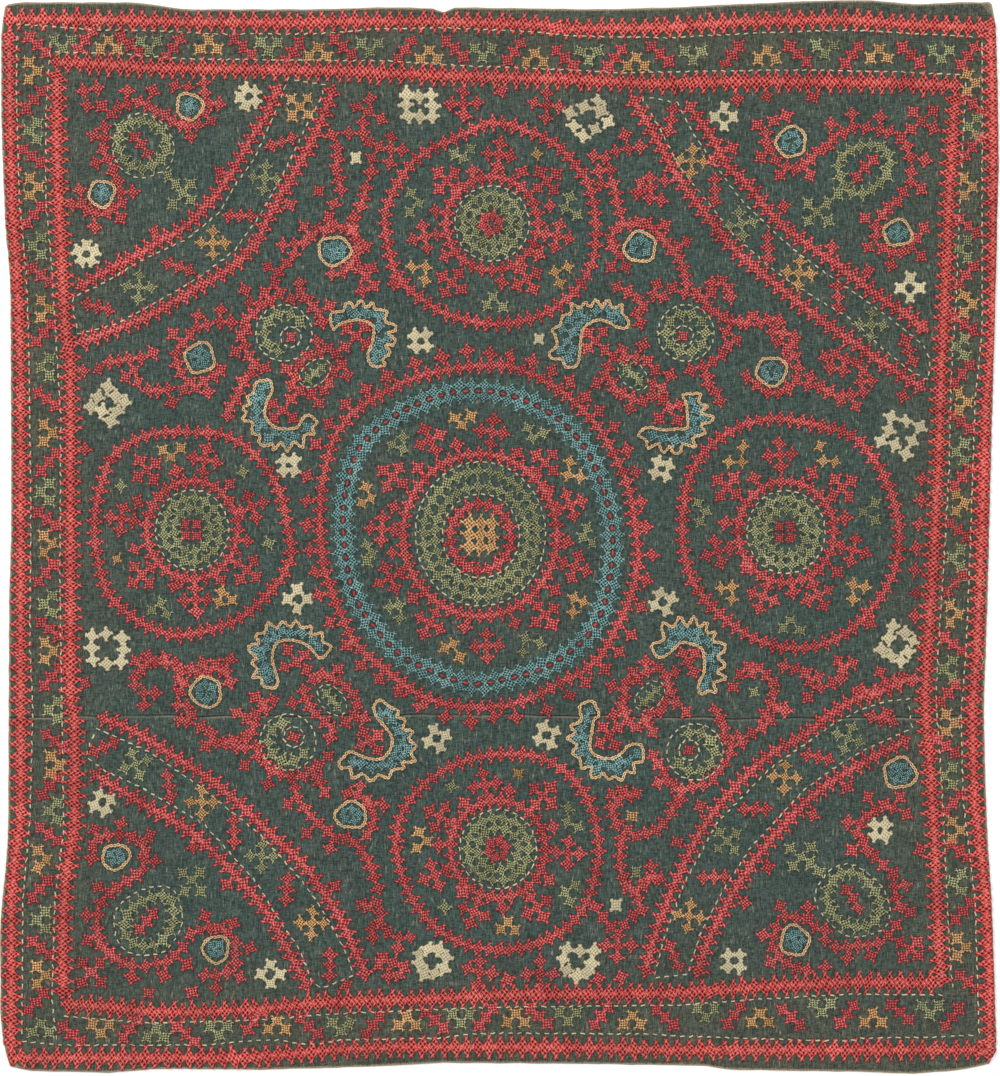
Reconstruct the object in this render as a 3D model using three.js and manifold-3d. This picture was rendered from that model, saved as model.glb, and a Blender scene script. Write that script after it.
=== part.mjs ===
// Embroidered cloth square, lying face up.
// Two panels of handspun cotton are sewn edge to edge, and the pattern is worked across both of them.
// Sizes are in millimetres. +X is the cloth's right, +Y its top, +Z up, and the cloth lies on Z = 0.
// Its places are charted in steps of the ground weave, across from the left edge and down from the top edge.

import * as THREE from "three";
import { mergeVertices } from "three/addons/utils/BufferGeometryUtils.js";
import Module from "manifold-3d";

// Driving dimensions
const CHART_STEP = 0.7;
const CHART_ACROSS = 999;
const CHART_DOWN = 1075;
const CLOTH_THICK = 1.3;
const STITCH_RISE = 0.9;
const STITCH_SINK = 0.5;
const SEAM_GAP = 0.3;
const BAND_WIDE = 11.5;
const STRIP_BAND_WIDE = 9;
const RING_STEPS = 36;
const SMALL_STEPS = 16;

// The outline, clockwise from the top left corner, as uneven as the worn edges are.
const TOP_EDGE = [
  { across: 2, down: 10 },
  { across: 12, down: 3 },
  { across: 132, down: 2 },
  { across: 184, down: 9 },
  { across: 314, down: 9 },
  { across: 418, down: 7 },
  { across: 444, down: 11 },
  { across: 470, down: 7 },
  { across: 600, down: 9 },
  { across: 678, down: 7 },
  { across: 756, down: 3 },
  { across: 847, down: 0 },
  { across: 912, down: 4 },
  { across: 990, down: 2 },
];
const RIGHT_EDGE = [
  { across: 996, down: 24 },
  { across: 999, down: 158 },
  { across: 996, down: 284 },
  { across: 992, down: 452 },
  { across: 988, down: 592 },
  { across: 984, down: 700 },
  { across: 985, down: 788 },
  { across: 990, down: 872 },
  { across: 994, down: 956 },
  { across: 997, down: 1050 },
];
const BOTTOM_EDGE = [
  { across: 990, down: 1064 },
  { across: 964, down: 1070 },
  { across: 912, down: 1074 },
  { across: 756, down: 1071 },
  { across: 704, down: 1066 },
  { across: 600, down: 1065 },
  { across: 457, down: 1063 },
  { across: 366, down: 1067 },
  { across: 262, down: 1070 },
  { across: 158, down: 1069 },
  { across: 118, down: 1075 },
  { across: 28, down: 1071 },
];
const LEFT_EDGE = [
  { across: 4, down: 1058 },
  { across: 0, down: 984 },
  { across: 2, down: 900 },
  { across: 7, down: 844 },
  { across: 9, down: 704 },
  { across: 11, down: 508 },
  { across: 10, down: 298 },
  { across: 5, down: 228 },
  { across: 1, down: 100 },
];

// The seam between the panels, from the left edge to the right.
const SEAM_LINE = [
  { across: -10, down: 717 },
  { across: 60, down: 717 },
  { across: 130, down: 715.5 },
  { across: 240, down: 716 },
  { across: 500, down: 714.5 },
  { across: 600, down: 716 },
  { across: 680, down: 717.5 },
  { across: 755, down: 718.5 },
  { across: 860, down: 718 },
  { across: 1010, down: 716 },
];

// The middle lines of the two border bands, each closed, clockwise from the top left.
const OUTER_BAND = [
  { across: 11, down: 20 },
  { across: 180, down: 22 },
  { across: 340, down: 21.5 },
  { across: 450, down: 22 },
  { across: 560, down: 29 },
  { across: 660, down: 28 },
  { across: 850, down: 19.5 },
  { across: 990, down: 28 },
  { across: 990, down: 330 },
  { across: 981, down: 550 },
  { across: 973, down: 715 },
  { across: 986, down: 900 },
  { across: 989, down: 1050 },
  { across: 660, down: 1050 },
  { across: 510, down: 1047 },
  { across: 330, down: 1050 },
  { across: 250, down: 1058 },
  { across: 12, down: 1058 },
  { across: 13, down: 900 },
  { across: 21, down: 800 },
  { across: 20, down: 360 },
  { across: 12, down: 200 },
];
const INNER_BAND = [
  { across: 57, down: 62 },
  { across: 150, down: 68 },
  { across: 340, down: 71 },
  { across: 450, down: 76 },
  { across: 560, down: 79 },
  { across: 660, down: 84 },
  { across: 760, down: 81.5 },
  { across: 955, down: 86 },
  { across: 949, down: 210 },
  { across: 944, down: 320 },
  { across: 937, down: 500 },
  { across: 926, down: 710 },
  { across: 935, down: 850 },
  { across: 941, down: 983 },
  { across: 850, down: 982 },
  { across: 680, down: 993 },
  { across: 500, down: 995 },
  { across: 330, down: 1002 },
  { across: 200, down: 1012 },
  { across: 66, down: 1006 },
  { across: 63, down: 960 },
  { across: 67, down: 870 },
  { across: 74, down: 800 },
  { across: 70, down: 500 },
  { across: 66, down: 340 },
  { across: 57, down: 160 },
];

// Bands that cut off the four corners, each an open line: two to a corner, with bars between them.
const CORNER_BANDS = [
  [
    { across: 280, down: 83 },
    { across: 215, down: 160 },
    { across: 150, down: 232 },
    { across: 76, down: 292 },
  ],
  [
    { across: 333, down: 88 },
    { across: 262, down: 190 },
    { across: 175, down: 285 },
    { across: 80, down: 342 },
  ],
  [
    { across: 688, down: 103 },
    { across: 747, down: 184 },
    { across: 839, down: 266 },
    { across: 912, down: 319 },
  ],
  [
    { across: 640, down: 110 },
    { across: 706, down: 213 },
    { across: 789, down: 292 },
    { across: 922, down: 388 },
  ],
  [
    { across: 99, down: 717 },
    { across: 191, down: 769 },
    { across: 298, down: 858 },
    { across: 364, down: 975 },
  ],
  [
    { across: 91, down: 772 },
    { across: 170, down: 818 },
    { across: 248, down: 888 },
    { across: 305, down: 985 },
  ],
  [
    { across: 912, down: 681 },
    { across: 860, down: 692 },
    { across: 745, down: 778 },
    { across: 660, down: 913 },
  ],
  [
    { across: 908, down: 739 },
    { across: 809, down: 799 },
    { across: 731, down: 897 },
    { across: 697, down: 975 },
  ],
];

// Rings, by the middle of their band. Those of the five medallions come first, then the wheels inside them.
const RINGS = [
  { across: 491, down: 224, reachAcross: 105, reachDown: 99, wide: 9 },
  { across: 191, down: 532, reachAcross: 98, reachDown: 101, wide: 9 },
  { across: 790, down: 533, reachAcross: 108, reachDown: 116, wide: 9 },
  { across: 498, down: 853, reachAcross: 101, reachDown: 96, wide: 9 },
  { across: 479, down: 538, reachAcross: 160, reachDown: 166, wide: 9 },
  { across: 479, down: 538, reachAcross: 134, reachDown: 146, wide: 14 },
  { across: 481, down: 535, reachAcross: 75, reachDown: 75, wide: 8 },
  { across: 481, down: 535, reachAcross: 51, reachDown: 51, wide: 14 },
  { across: 481, down: 535, reachAcross: 33, reachDown: 33, wide: 7 },
  { across: 492, down: 224, reachAcross: 48, reachDown: 48, wide: 7 },
  { across: 192, down: 530, reachAcross: 48, reachDown: 48, wide: 7 },
  { across: 785, down: 532, reachAcross: 48, reachDown: 48, wide: 7 },
  { across: 498, down: 849, reachAcross: 48, reachDown: 48, wide: 7 },
  { across: 492, down: 224, reachAcross: 24, reachDown: 24, wide: 13 },
  { across: 192, down: 530, reachAcross: 24, reachDown: 24, wide: 13 },
  { across: 785, down: 532, reachAcross: 24, reachDown: 24, wide: 13 },
  { across: 498, down: 849, reachAcross: 24, reachDown: 24, wide: 13 },
];

// Wheels in the corners and beside the corner bands.
const WHEELS = [
  { across: 145, down: 146, reach: 28 },
  { across: 864, down: 170, reach: 28 },
  { across: 148, down: 919, reach: 30 },
  { across: 854, down: 900, reach: 32 },
  { across: 284, down: 333, reach: 26 },
  { across: 686, down: 333, reach: 26 },
  { across: 287, down: 741, reach: 26 },
  { across: 695, down: 752, reach: 26 },
];

// Petals stand around the ring of each medallion.
const PETALS = [
  { across: 492, down: 224, count: 8, reach: 64 },
  { across: 192, down: 530, count: 8, reach: 64 },
  { across: 785, down: 532, count: 8, reach: 64 },
  { across: 498, down: 849, count: 8, reach: 64 },
  { across: 481, down: 535, count: 10, reach: 100 },
];
const PETAL_REACH = 14;

// Round discs of blue interlacing with a chain-stitch edge.
const DISCS = [
  { across: 190, down: 106 },
  { across: 101, down: 194 },
  { across: 791, down: 142 },
  { across: 898, down: 233 },
  { across: 117, down: 856 },
  { across: 216, down: 949 },
  { across: 900, down: 773 },
  { across: 795, down: 941 },
  { across: 334, down: 252 },
  { across: 200, down: 358 },
  { across: 640, down: 247 },
  { across: 771, down: 370 },
  { across: 206, down: 692 },
  { across: 352, down: 815 },
];
const DISC_REACH = 14;

// Lobed rosettes of cream thread, each with an open middle.
const ROSETTES = [
  { across: 419, down: 107, reach: 20 },
  { across: 590, down: 118, reach: 25 },
  { across: 107, down: 404, reach: 22 },
  { across: 108, down: 649, reach: 26 },
  { across: 901, down: 435, reach: 26 },
  { across: 898, down: 643, reach: 20 },
  { across: 432, down: 963, reach: 18 },
  { across: 578, down: 962, reach: 21 },
];
const ROSETTE_LOBES = 8;

// Blue crescents between the medallions, bowed away from the cloth's middle.
const CRESCENTS = [
  { across: 363, down: 333, turn: 60 },
  { across: 280, down: 415, turn: 210 },
  { across: 590, down: 333, turn: 120 },
  { across: 677, down: 420, turn: -30 },
  { across: 287, down: 655, turn: 150 },
  { across: 385, down: 740, turn: -60 },
  { across: 690, down: 655, turn: 30 },
  { across: 605, down: 740, turn: 240 },
];
const CRESCENT_REACH = 30;
const CRESCENT_WIDE = 14;

// A place on the chart, as a point of the cloth with its middle at the origin.
function place({ across, down }) {
  return new THREE.Vector2(
    (across - CHART_ACROSS / 2) * CHART_STEP,
    (CHART_DOWN / 2 - down) * CHART_STEP,
  );
}

// Booleans
const wasm = await Module();
wasm.setup();

function solidOf(geometry) {
  geometry.deleteAttribute("normal");
  geometry.deleteAttribute("uv");
  const merged = mergeVertices(geometry, 1e-4);
  return new wasm.Manifold(
    new wasm.Mesh({
      numProp: 3,
      vertProperties: new Float32Array(merged.attributes.position.array),
      triVerts: new Uint32Array(merged.index.array),
    }),
  );
}

function joined(solids) {
  return solids.reduce((whole, solid) => whole.add(solid));
}

function geometryOf(solid) {
  const mesh = solid.getMesh();
  const geometry = new THREE.BufferGeometry();
  geometry.setAttribute("position", new THREE.BufferAttribute(mesh.vertProperties, 3));
  geometry.setIndex(new THREE.BufferAttribute(mesh.triVerts, 1));
  geometry.computeVertexNormals();
  return geometry;
}

// A flat shape made into a slab between two heights.
function slab(shape, low, high) {
  const geometry = new THREE.ExtrudeGeometry(shape, {
    depth: high - low,
    bevelEnabled: false,
    curveSegments: RING_STEPS,
  });
  geometry.translate(0, 0, low);
  return solidOf(geometry);
}

// Stitching starts a little inside the cloth, so that it joins it, and stands proud of its face.
function relief(shape) {
  return slab(shape, CLOTH_THICK - STITCH_SINK, CLOTH_THICK + STITCH_RISE);
}

// A closed run of points around a middle, at the reach that a function gives for each turn.
function roundPoints(middle, steps, reachAt) {
  return Array.from({ length: steps }, (_, step) => {
    const turn = (step / steps) * 2 * Math.PI;
    const reach = reachAt(turn);
    return new THREE.Vector2(
      middle.x + reach.x * Math.cos(turn),
      middle.y + reach.y * Math.sin(turn),
    );
  });
}

function ringSolid({ across, down, reachAcross, reachDown, wide }) {
  const middle = place({ across, down });
  const edge = (side) =>
    roundPoints(middle, RING_STEPS, () => ({
      x: reachAcross * CHART_STEP + (side * wide) / 2,
      y: reachDown * CHART_STEP + (side * wide) / 2,
    }));
  const shape = new THREE.Shape(edge(1));
  shape.holes.push(new THREE.Path(edge(-1)));
  return relief(shape);
}

// The offset of a line of points to one side, taken square to the line at each point.
function besideLine(points, closed, offset) {
  const count = points.length;
  return points.map((point, index) => {
    const before = closed ? points[(index + count - 1) % count] : points[Math.max(index - 1, 0)];
    const after = closed ? points[(index + 1) % count] : points[Math.min(index + 1, count - 1)];
    const along = after.clone().sub(before).normalize();
    return new THREE.Vector2(point.x - along.y * offset, point.y + along.x * offset);
  });
}

function closedBandSolid(rows) {
  const points = rows.map(place);
  const shape = new THREE.Shape(besideLine(points, true, BAND_WIDE / 2));
  shape.holes.push(new THREE.Path(besideLine(points, true, -BAND_WIDE / 2).reverse()));
  return relief(shape);
}

function openBandSolid(rows) {
  const points = new THREE.SplineCurve(rows.map(place)).getPoints(RING_STEPS / 4);
  const near = besideLine(points, false, STRIP_BAND_WIDE / 2);
  const far = besideLine(points, false, -STRIP_BAND_WIDE / 2);
  return relief(new THREE.Shape([...near, ...far.reverse()]));
}

function discSolid(middle, reach) {
  return relief(new THREE.Shape(roundPoints(middle, SMALL_STEPS, () => ({ x: reach, y: reach }))));
}

function lobedSolid(middle, reach, lobes, open) {
  const reachAt = (turn) => {
    const lobed = reach * (0.88 + 0.12 * Math.cos(lobes * turn));
    return { x: lobed, y: lobed };
  };
  const shape = new THREE.Shape(roundPoints(middle, lobes * 4, reachAt));
  if (open) {
    const hole = { x: reach * 0.3, y: reach * 0.3 };
    shape.holes.push(new THREE.Path(roundPoints(middle, lobes, () => hole)));
  }
  return relief(shape);
}

function petalSolids({ across, down, count, reach }) {
  const middle = place({ across, down });
  return Array.from({ length: count }, (_, index) => {
    const turn = ((index + 0.5) / count) * 2 * Math.PI;
    const at = new THREE.Vector2(Math.cos(turn), Math.sin(turn)).multiplyScalar(reach * CHART_STEP);
    return lobedSolid(at.add(middle), PETAL_REACH * CHART_STEP, 4, false);
  });
}

function crescentSolid({ across, down, turn }) {
  const middle = place({ across, down });
  const half = CRESCENT_WIDE / 2;
  const reach = CRESCENT_REACH * CHART_STEP;
  const steps = RING_STEPS / 4;
  const arc = (offset) =>
    Array.from({ length: steps + 1 }, (_, step) => {
      const angle = THREE.MathUtils.degToRad(turn - 75 + (150 * step) / steps);
      const taper = Math.sin((Math.PI * step) / steps) * 0.6 + 0.4;
      const radius = reach + offset * taper - reach * 0.55;
      return new THREE.Vector2(
        middle.x + radius * Math.cos(angle),
        middle.y + radius * Math.sin(angle),
      );
    });
  return relief(new THREE.Shape([...arc(half), ...arc(-half).reverse()]));
}

// The whole outline, and the part of the chart that each panel covers.
const OUTLINE = [...TOP_EDGE, ...RIGHT_EDGE, ...BOTTOM_EDGE, ...LEFT_EDGE].map(place);
const FAR_OUT = CHART_ACROSS;

function halfSolid(side) {
  const shift = (side * SEAM_GAP) / 2 / CHART_STEP;
  const line = SEAM_LINE.map(({ across, down }) => place({ across, down: down + shift }));
  const away = side < 0 ? FAR_OUT : -FAR_OUT;
  const corners = [
    new THREE.Vector2(line.at(-1).x, away),
    new THREE.Vector2(line[0].x, away),
  ];
  return slab(new THREE.Shape([...line, ...corners]), -1, CLOTH_THICK + STITCH_RISE + 1);
}

const EMBROIDERY = joined([
  closedBandSolid(OUTER_BAND),
  closedBandSolid(INNER_BAND),
  ...CORNER_BANDS.map(openBandSolid),
  ...RINGS.map(ringSolid),
  ...WHEELS.map((row) => discSolid(place(row), row.reach * CHART_STEP)),
  ...PETALS.flatMap(petalSolids),
  ...DISCS.map((row) => discSolid(place(row), DISC_REACH * CHART_STEP)),
  ...ROSETTES.map((row) => lobedSolid(place(row), row.reach * CHART_STEP, ROSETTE_LOBES, true)),
  ...CRESCENTS.map(crescentSolid),
]);
const OUTLINE_SLAB = slab(new THREE.Shape(OUTLINE), 0, CLOTH_THICK);
const OUTLINE_REACH = slab(new THREE.Shape(OUTLINE), 0, CLOTH_THICK + STITCH_RISE + 1);
const WHOLE = OUTLINE_SLAB.add(EMBROIDERY.intersect(OUTLINE_REACH));

// Each panel is the cotton on its side of the seam with the stitching that lies on it.
function panel(name, side, colour) {
  const material = new THREE.MeshStandardMaterial({ color: colour, roughness: 0.92, metalness: 0 });
  const mesh = new THREE.Mesh(geometryOf(WHOLE.intersect(halfSolid(side))), material);
  mesh.name = name;
  return mesh;
}

const cloth = new THREE.Group();
cloth.add(panel("cloth_upper", -1, "#43524c"));
cloth.add(panel("cloth_lower", 1, "#3f504a"));

export default cloth;
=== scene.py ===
import math
import bpy
import numpy as np
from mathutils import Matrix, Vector


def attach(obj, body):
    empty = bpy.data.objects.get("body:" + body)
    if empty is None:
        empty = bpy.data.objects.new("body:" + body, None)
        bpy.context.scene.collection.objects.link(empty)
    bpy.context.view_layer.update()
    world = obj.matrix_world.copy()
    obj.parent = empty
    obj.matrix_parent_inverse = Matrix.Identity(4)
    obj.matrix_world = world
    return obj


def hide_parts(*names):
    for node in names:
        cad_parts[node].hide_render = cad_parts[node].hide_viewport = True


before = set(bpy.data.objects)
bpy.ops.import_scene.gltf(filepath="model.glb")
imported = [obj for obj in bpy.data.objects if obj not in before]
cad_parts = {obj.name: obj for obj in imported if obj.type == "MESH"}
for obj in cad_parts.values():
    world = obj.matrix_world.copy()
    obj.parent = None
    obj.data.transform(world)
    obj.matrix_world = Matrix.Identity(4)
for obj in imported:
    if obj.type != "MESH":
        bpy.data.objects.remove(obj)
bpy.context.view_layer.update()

# Ground cloth: two panels of dark blue-green handspun cotton, plain woven and sewn edge to edge.
# The edges are worn raw, the weave has pale slubs, and the dense stitching puckers the cotton a little.
# Places are charted across and down from the top left corner, in steps of about one ground thread.
STEP = 0.0007
CHART_ACROSS, CHART_DOWN = 999.0, 1075.0
CLOTH_RISE = 0.00115
LEFT_EDGE = [(0, 6), (30, 1), (116, 1), (172, 3), (228, 5), (256, 8), (284, 10), (452, 11), (536, 11),
             (592, 9), (816, 8), (844, 7), (872, 5), (900, 2), (928, 0), (1012, 0), (1045, 3), (1075, 14)]
RIGHT_EDGE = [(0, 990), (24, 996), (88, 998), (158, 999), (284, 996), (396, 993), (508, 990), (592, 988),
              (704, 984), (760, 985), (844, 988), (900, 992), (956, 994), (1050, 997), (1066, 988),
              (1075, 980)]
TOP_EDGE = [(0, 11), (9, 3), (28, 2), (132, 2), (158, 5), (184, 9), (314, 9), (392, 7), (432, 8),
            (443, 12), (455, 7), (600, 9), (678, 7), (756, 3), (834, 0), (870, 0), (912, 4), (964, 2),
            (990, 2), (999, 12)]
BOTTOM_EDGE = [(0, 1058), (8, 1066), (28, 1071), (106, 1073), (158, 1069), (262, 1070), (366, 1067),
               (444, 1063), (574, 1064), (704, 1066), (730, 1070), (860, 1072), (912, 1074), (964, 1070),
               (990, 1064), (999, 1056)]
SEAM_LINE = [(0, 717), (60, 717), (130, 715.5), (240, 716), (500, 714.5), (600, 716), (680, 717.5),
             (755, 718.5), (860, 718), (999, 716)]
rng = np.random.default_rng(7)


def along_edge(table, where):
    """A charted edge's place at any point along it."""
    places, values = zip(*table)
    return np.interp(where, places, values)


def seam_line(across):
    """The sewn edges waver by about a ground thread, in two waves of unequal length."""
    waver = 0.6 * np.sin(across * 0.07) + 0.45 * np.sin(across * 0.13 + 1)
    return along_edge(SEAM_LINE, across) + waver


def to_metres(across, down):
    """Charted places in the cloth's frame, where the middle is the origin and up the chart is +Y."""
    return (np.asarray(across) - CHART_ACROSS / 2) * STEP, (CHART_DOWN / 2 - np.asarray(down)) * STEP


# Each pucker is a shallow wave: how tight it is, which way it runs, and its share of the rise.
PUCKERS = [(31, 0.4, 0.9), (47, 2.1, 0.7), (73, 1.2, 0.6), (118, 2.7, 0.5), (190, 0.9, 0.9)]
PUCKER_RISE = 0.00007


def cloth_height(x, y):
    """The cotton's upper face, a little uneven between the stitched bands."""
    rise = np.zeros_like(x)
    for turns, slant, share in PUCKERS:
        rise += share * np.sin(turns * (x * math.cos(slant) + y * math.sin(slant)) + turns)
    return CLOTH_RISE + PUCKER_RISE * rise


def mesh_object(name, points, corners, counts):
    """A joined mesh from arrays: corner indices in a row, and how many corners each face has."""
    mesh = bpy.data.meshes.new(name)
    counts = np.asarray(counts, dtype=np.int32)
    starts = np.concatenate([[0], np.cumsum(counts)[:-1]]).astype(np.int32)
    mesh.vertices.add(len(points))
    mesh.vertices.foreach_set("co", np.ascontiguousarray(points, dtype=np.float32).ravel())
    mesh.loops.add(len(corners))
    mesh.loops.foreach_set("vertex_index", np.ascontiguousarray(corners, dtype=np.int32))
    mesh.polygons.add(len(counts))
    mesh.polygons.foreach_set("loop_start", starts)
    mesh.polygons.foreach_set("loop_total", counts)
    mesh.polygons.foreach_set("use_smooth", np.full(len(counts), True))
    mesh.update(calc_edges=True)
    mesh.validate()
    piece = bpy.data.objects.new(name, mesh)
    bpy.context.scene.collection.objects.link(piece)
    return piece


def add_values(piece, name, rows):
    """Three values for each point, which the materials read by name."""
    layer = piece.data.attributes.new(name, "FLOAT_VECTOR", "POINT")
    layer.data.foreach_set("vector", np.ascontiguousarray(rows, dtype=np.float32).ravel())


# A panel's columns of points, and extra ones close to its rim. Then how far the raw edge frays (steps), and
# how far the top face drops and rolls at the edges and lies over the table (metres).
COLUMNS = 90
RIM_SHARE = 0.006
RIM_ROWS = [RIM_SHARE / 2, 1 - RIM_SHARE / 2, RIM_SHARE / 5, 1 - RIM_SHARE / 5]
FRAY = 0.35
EDGE_DROP = 0.0008
SEAM_DROP = 0.0009
SEAM_ROLL = (0.0001, 0.00035)
LOWEST_TOP = 0.0001
UNDERSIDE = 0.00002


def panel_mesh(name, down_from, down_to, rows, seam_side):
    """One panel as a closed thin sheet, with its worn edges turned down and its seam edge rolled."""
    across_share = np.sort(np.concatenate([np.linspace(0, 1, COLUMNS + 1), RIM_ROWS]))
    down_share = np.sort(np.concatenate([np.linspace(0, 1, rows + 1), RIM_ROWS]))
    s, t = np.meshgrid(across_share, down_share)
    middle = down_from(500.0) * (1 - t) + down_to(500.0) * t
    across = along_edge(LEFT_EDGE, middle) * (1 - s) + along_edge(RIGHT_EDGE, middle) * s
    down = down_from(across) * (1 - t) + down_to(across) * t
    edge = np.minimum.reduce([
        across - along_edge(LEFT_EDGE, down),
        along_edge(RIGHT_EDGE, down) - across,
        down - along_edge(TOP_EDGE, across),
        along_edge(BOTTOM_EDGE, across) - down,
    ])
    seam = np.abs(down - seam_line(across))
    fray = FRAY * np.sin(down * 2.3) * np.sin(across * 1.9 + 1) * (edge < 0.5)
    x, y = to_metres(across + fray, down + fray)
    top = cloth_height(x, y)
    top = top - EDGE_DROP * np.exp(-np.maximum(edge, 0) / 0.7)
    roll = SEAM_ROLL[seam_side]
    top = top + roll * np.exp(-((seam - 2.5) / 1.6) ** 2) - SEAM_DROP * np.exp(-seam / 0.8)
    top = np.maximum(top, LOWEST_TOP)
    low = np.full_like(top, UNDERSIDE)
    high_points = np.stack([x, y, top], -1).reshape(-1, 3)
    low_points = np.stack([x, y, low], -1).reshape(-1, 3)
    tall, wide = x.shape
    grid = np.arange(tall * wide).reshape(tall, wide)
    quad = np.stack([grid[:-1, :-1], grid[1:, :-1], grid[1:, 1:], grid[:-1, 1:]], -1).reshape(-1, 4)
    under = quad[:, ::-1] + tall * wide
    rim = np.concatenate([grid[:-1, 0], grid[-1, :-1], grid[:0:-1, -1], grid[0, :0:-1]])
    after = np.roll(rim, -1)
    wall = np.stack([rim, rim + tall * wide, after + tall * wide, after], -1)
    faces = np.concatenate([quad, under, wall])
    points = np.concatenate([high_points, low_points])
    piece = mesh_object(name, points, faces.ravel(), np.full(len(faces), 4))
    wear = np.stack([edge, seam, np.full_like(edge, seam_side)], -1).reshape(-1, 3)
    add_values(piece, "wear", np.concatenate([wear, wear]))
    return piece


def linear(code):
    """A colour code as the shader's linear values."""
    parts = [int(code[i:i + 2], 16) / 255 for i in (1, 3, 5)]
    return tuple(((p + 0.055) / 1.055) ** 2.4 if p > 0.04045 else p / 12.92 for p in parts) + (1.0,)


def new_group(name, inputs, outputs):
    """A shader node group with named sockets. Each socket is a name, a type and, for inputs, its value."""
    group = bpy.data.node_groups.new(name, "ShaderNodeTree")
    for label, kind, value in inputs:
        group.interface.new_socket(label, in_out="INPUT", socket_type=kind).default_value = value
    for label, kind in outputs:
        group.interface.new_socket(label, in_out="OUTPUT", socket_type=kind)
    return group, group.nodes.new("NodeGroupInput"), group.nodes.new("NodeGroupOutput")


def add_node(tree, kind, inputs=None, **settings):
    """A node with its settings, and its inputs given as values or as sockets to link from."""
    made = tree.nodes.new(kind)
    for label, value in settings.items():
        setattr(made, label, value)
    for label, value in (inputs or {}).items():
        if isinstance(value, bpy.types.NodeSocket):
            tree.links.new(value, made.inputs[label])
        else:
            made.inputs[label].default_value = value
    return made


def add_maths(tree, operation, first, second=0.0):
    """One step of arithmetic, named by its operation, on one value or two."""
    return add_node(tree, "ShaderNodeMath", {0: first, 1: second}, operation=operation).outputs[0]


def add_range(tree, value, low, high, to_low=0.0, to_high=1.0):
    """A value moved from one range to another, and kept in it."""
    made = add_node(tree, "ShaderNodeMapRange", {0: value, 1: low, 2: high, 3: to_low, 4: to_high})
    return made.outputs[0]


def add_mix(tree, share, first, second, blend="MIX"):
    """Two colours mixed, each of them and their share given as a value or as a socket."""
    made = add_node(tree, "ShaderNodeMix", data_type="RGBA", blend_type=blend)
    for index, value in ((0, share), (6, first), (7, second)):
        if isinstance(value, bpy.types.NodeSocket):
            tree.links.new(value, made.inputs[index])
        else:
            made.inputs[index].default_value = value
    return made.outputs[2]


WARP_STRETCH = (1.0, 0.16, 1.0)
WEFT_STRETCH = (0.2, 1.0, 1.0)
SLUB_SCALE = 0.85


def weave_group():
    """Plain weave seen from above: uneven warp and weft threads, as a height, a mask of pale slubs, and a
    tone that the ground uses for painted shade and highlight.
    """
    group, given, gives = new_group(
        "plain_weave",
        [("Vector", "NodeSocketVector", (0, 0, 0)), ("Thread", "NodeSocketFloat", STEP)],
        [("Height", "NodeSocketFloat"), ("Slub", "NodeSocketFloat"), ("Tone", "NodeSocketFloat")])
    place = given.outputs["Vector"]
    per_thread = add_maths(group, "DIVIDE", 1.0, given.outputs["Thread"])
    per_slub = add_maths(group, "MULTIPLY", per_thread, SLUB_SCALE)
    heights = []
    streaks = []
    for stretch in (WARP_STRETCH, WEFT_STRETCH):
        stretched = add_node(group, "ShaderNodeVectorMath", {0: place, 1: stretch}, operation="MULTIPLY")
        scaled = stretched.outputs[0]
        fine = add_node(group, "ShaderNodeTexNoise", {
            "Vector": scaled, "Scale": per_thread, "Detail": 2.0, "Roughness": 0.6})
        heights.append(fine.outputs[0])
        wide = add_node(group, "ShaderNodeTexNoise", {
            "Vector": scaled, "Scale": per_slub, "Detail": 2.0, "Roughness": 0.5})
        streaks.append(wide.outputs[0])
    height = add_maths(group, "ADD", heights[0], heights[1])
    group.links.new(height, gives.inputs["Height"])
    warp_slub = add_range(group, streaks[0], 0.58, 0.72)
    weft_slub = add_range(group, streaks[1], 0.64, 0.78)
    broken = add_node(group, "ShaderNodeTexNoise", {"Vector": place, "Scale": 260.0, "Detail": 3.0})
    kept_slub = add_range(group, broken.outputs[0], 0.42, 0.62)
    slub = add_maths(group, "MULTIPLY", add_maths(group, "MAXIMUM", warp_slub, weft_slub), kept_slub)
    group.links.new(slub, gives.inputs["Slub"])
    # The tone follows the weave's height, which gives painted shade and highlight, and the warp streaks add
    # uneven thread colour.
    tone = add_maths(group, "ADD", height, add_maths(group, "MULTIPLY", streaks[0], 0.3))
    group.links.new(tone, gives.inputs["Tone"])
    return group


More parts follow.
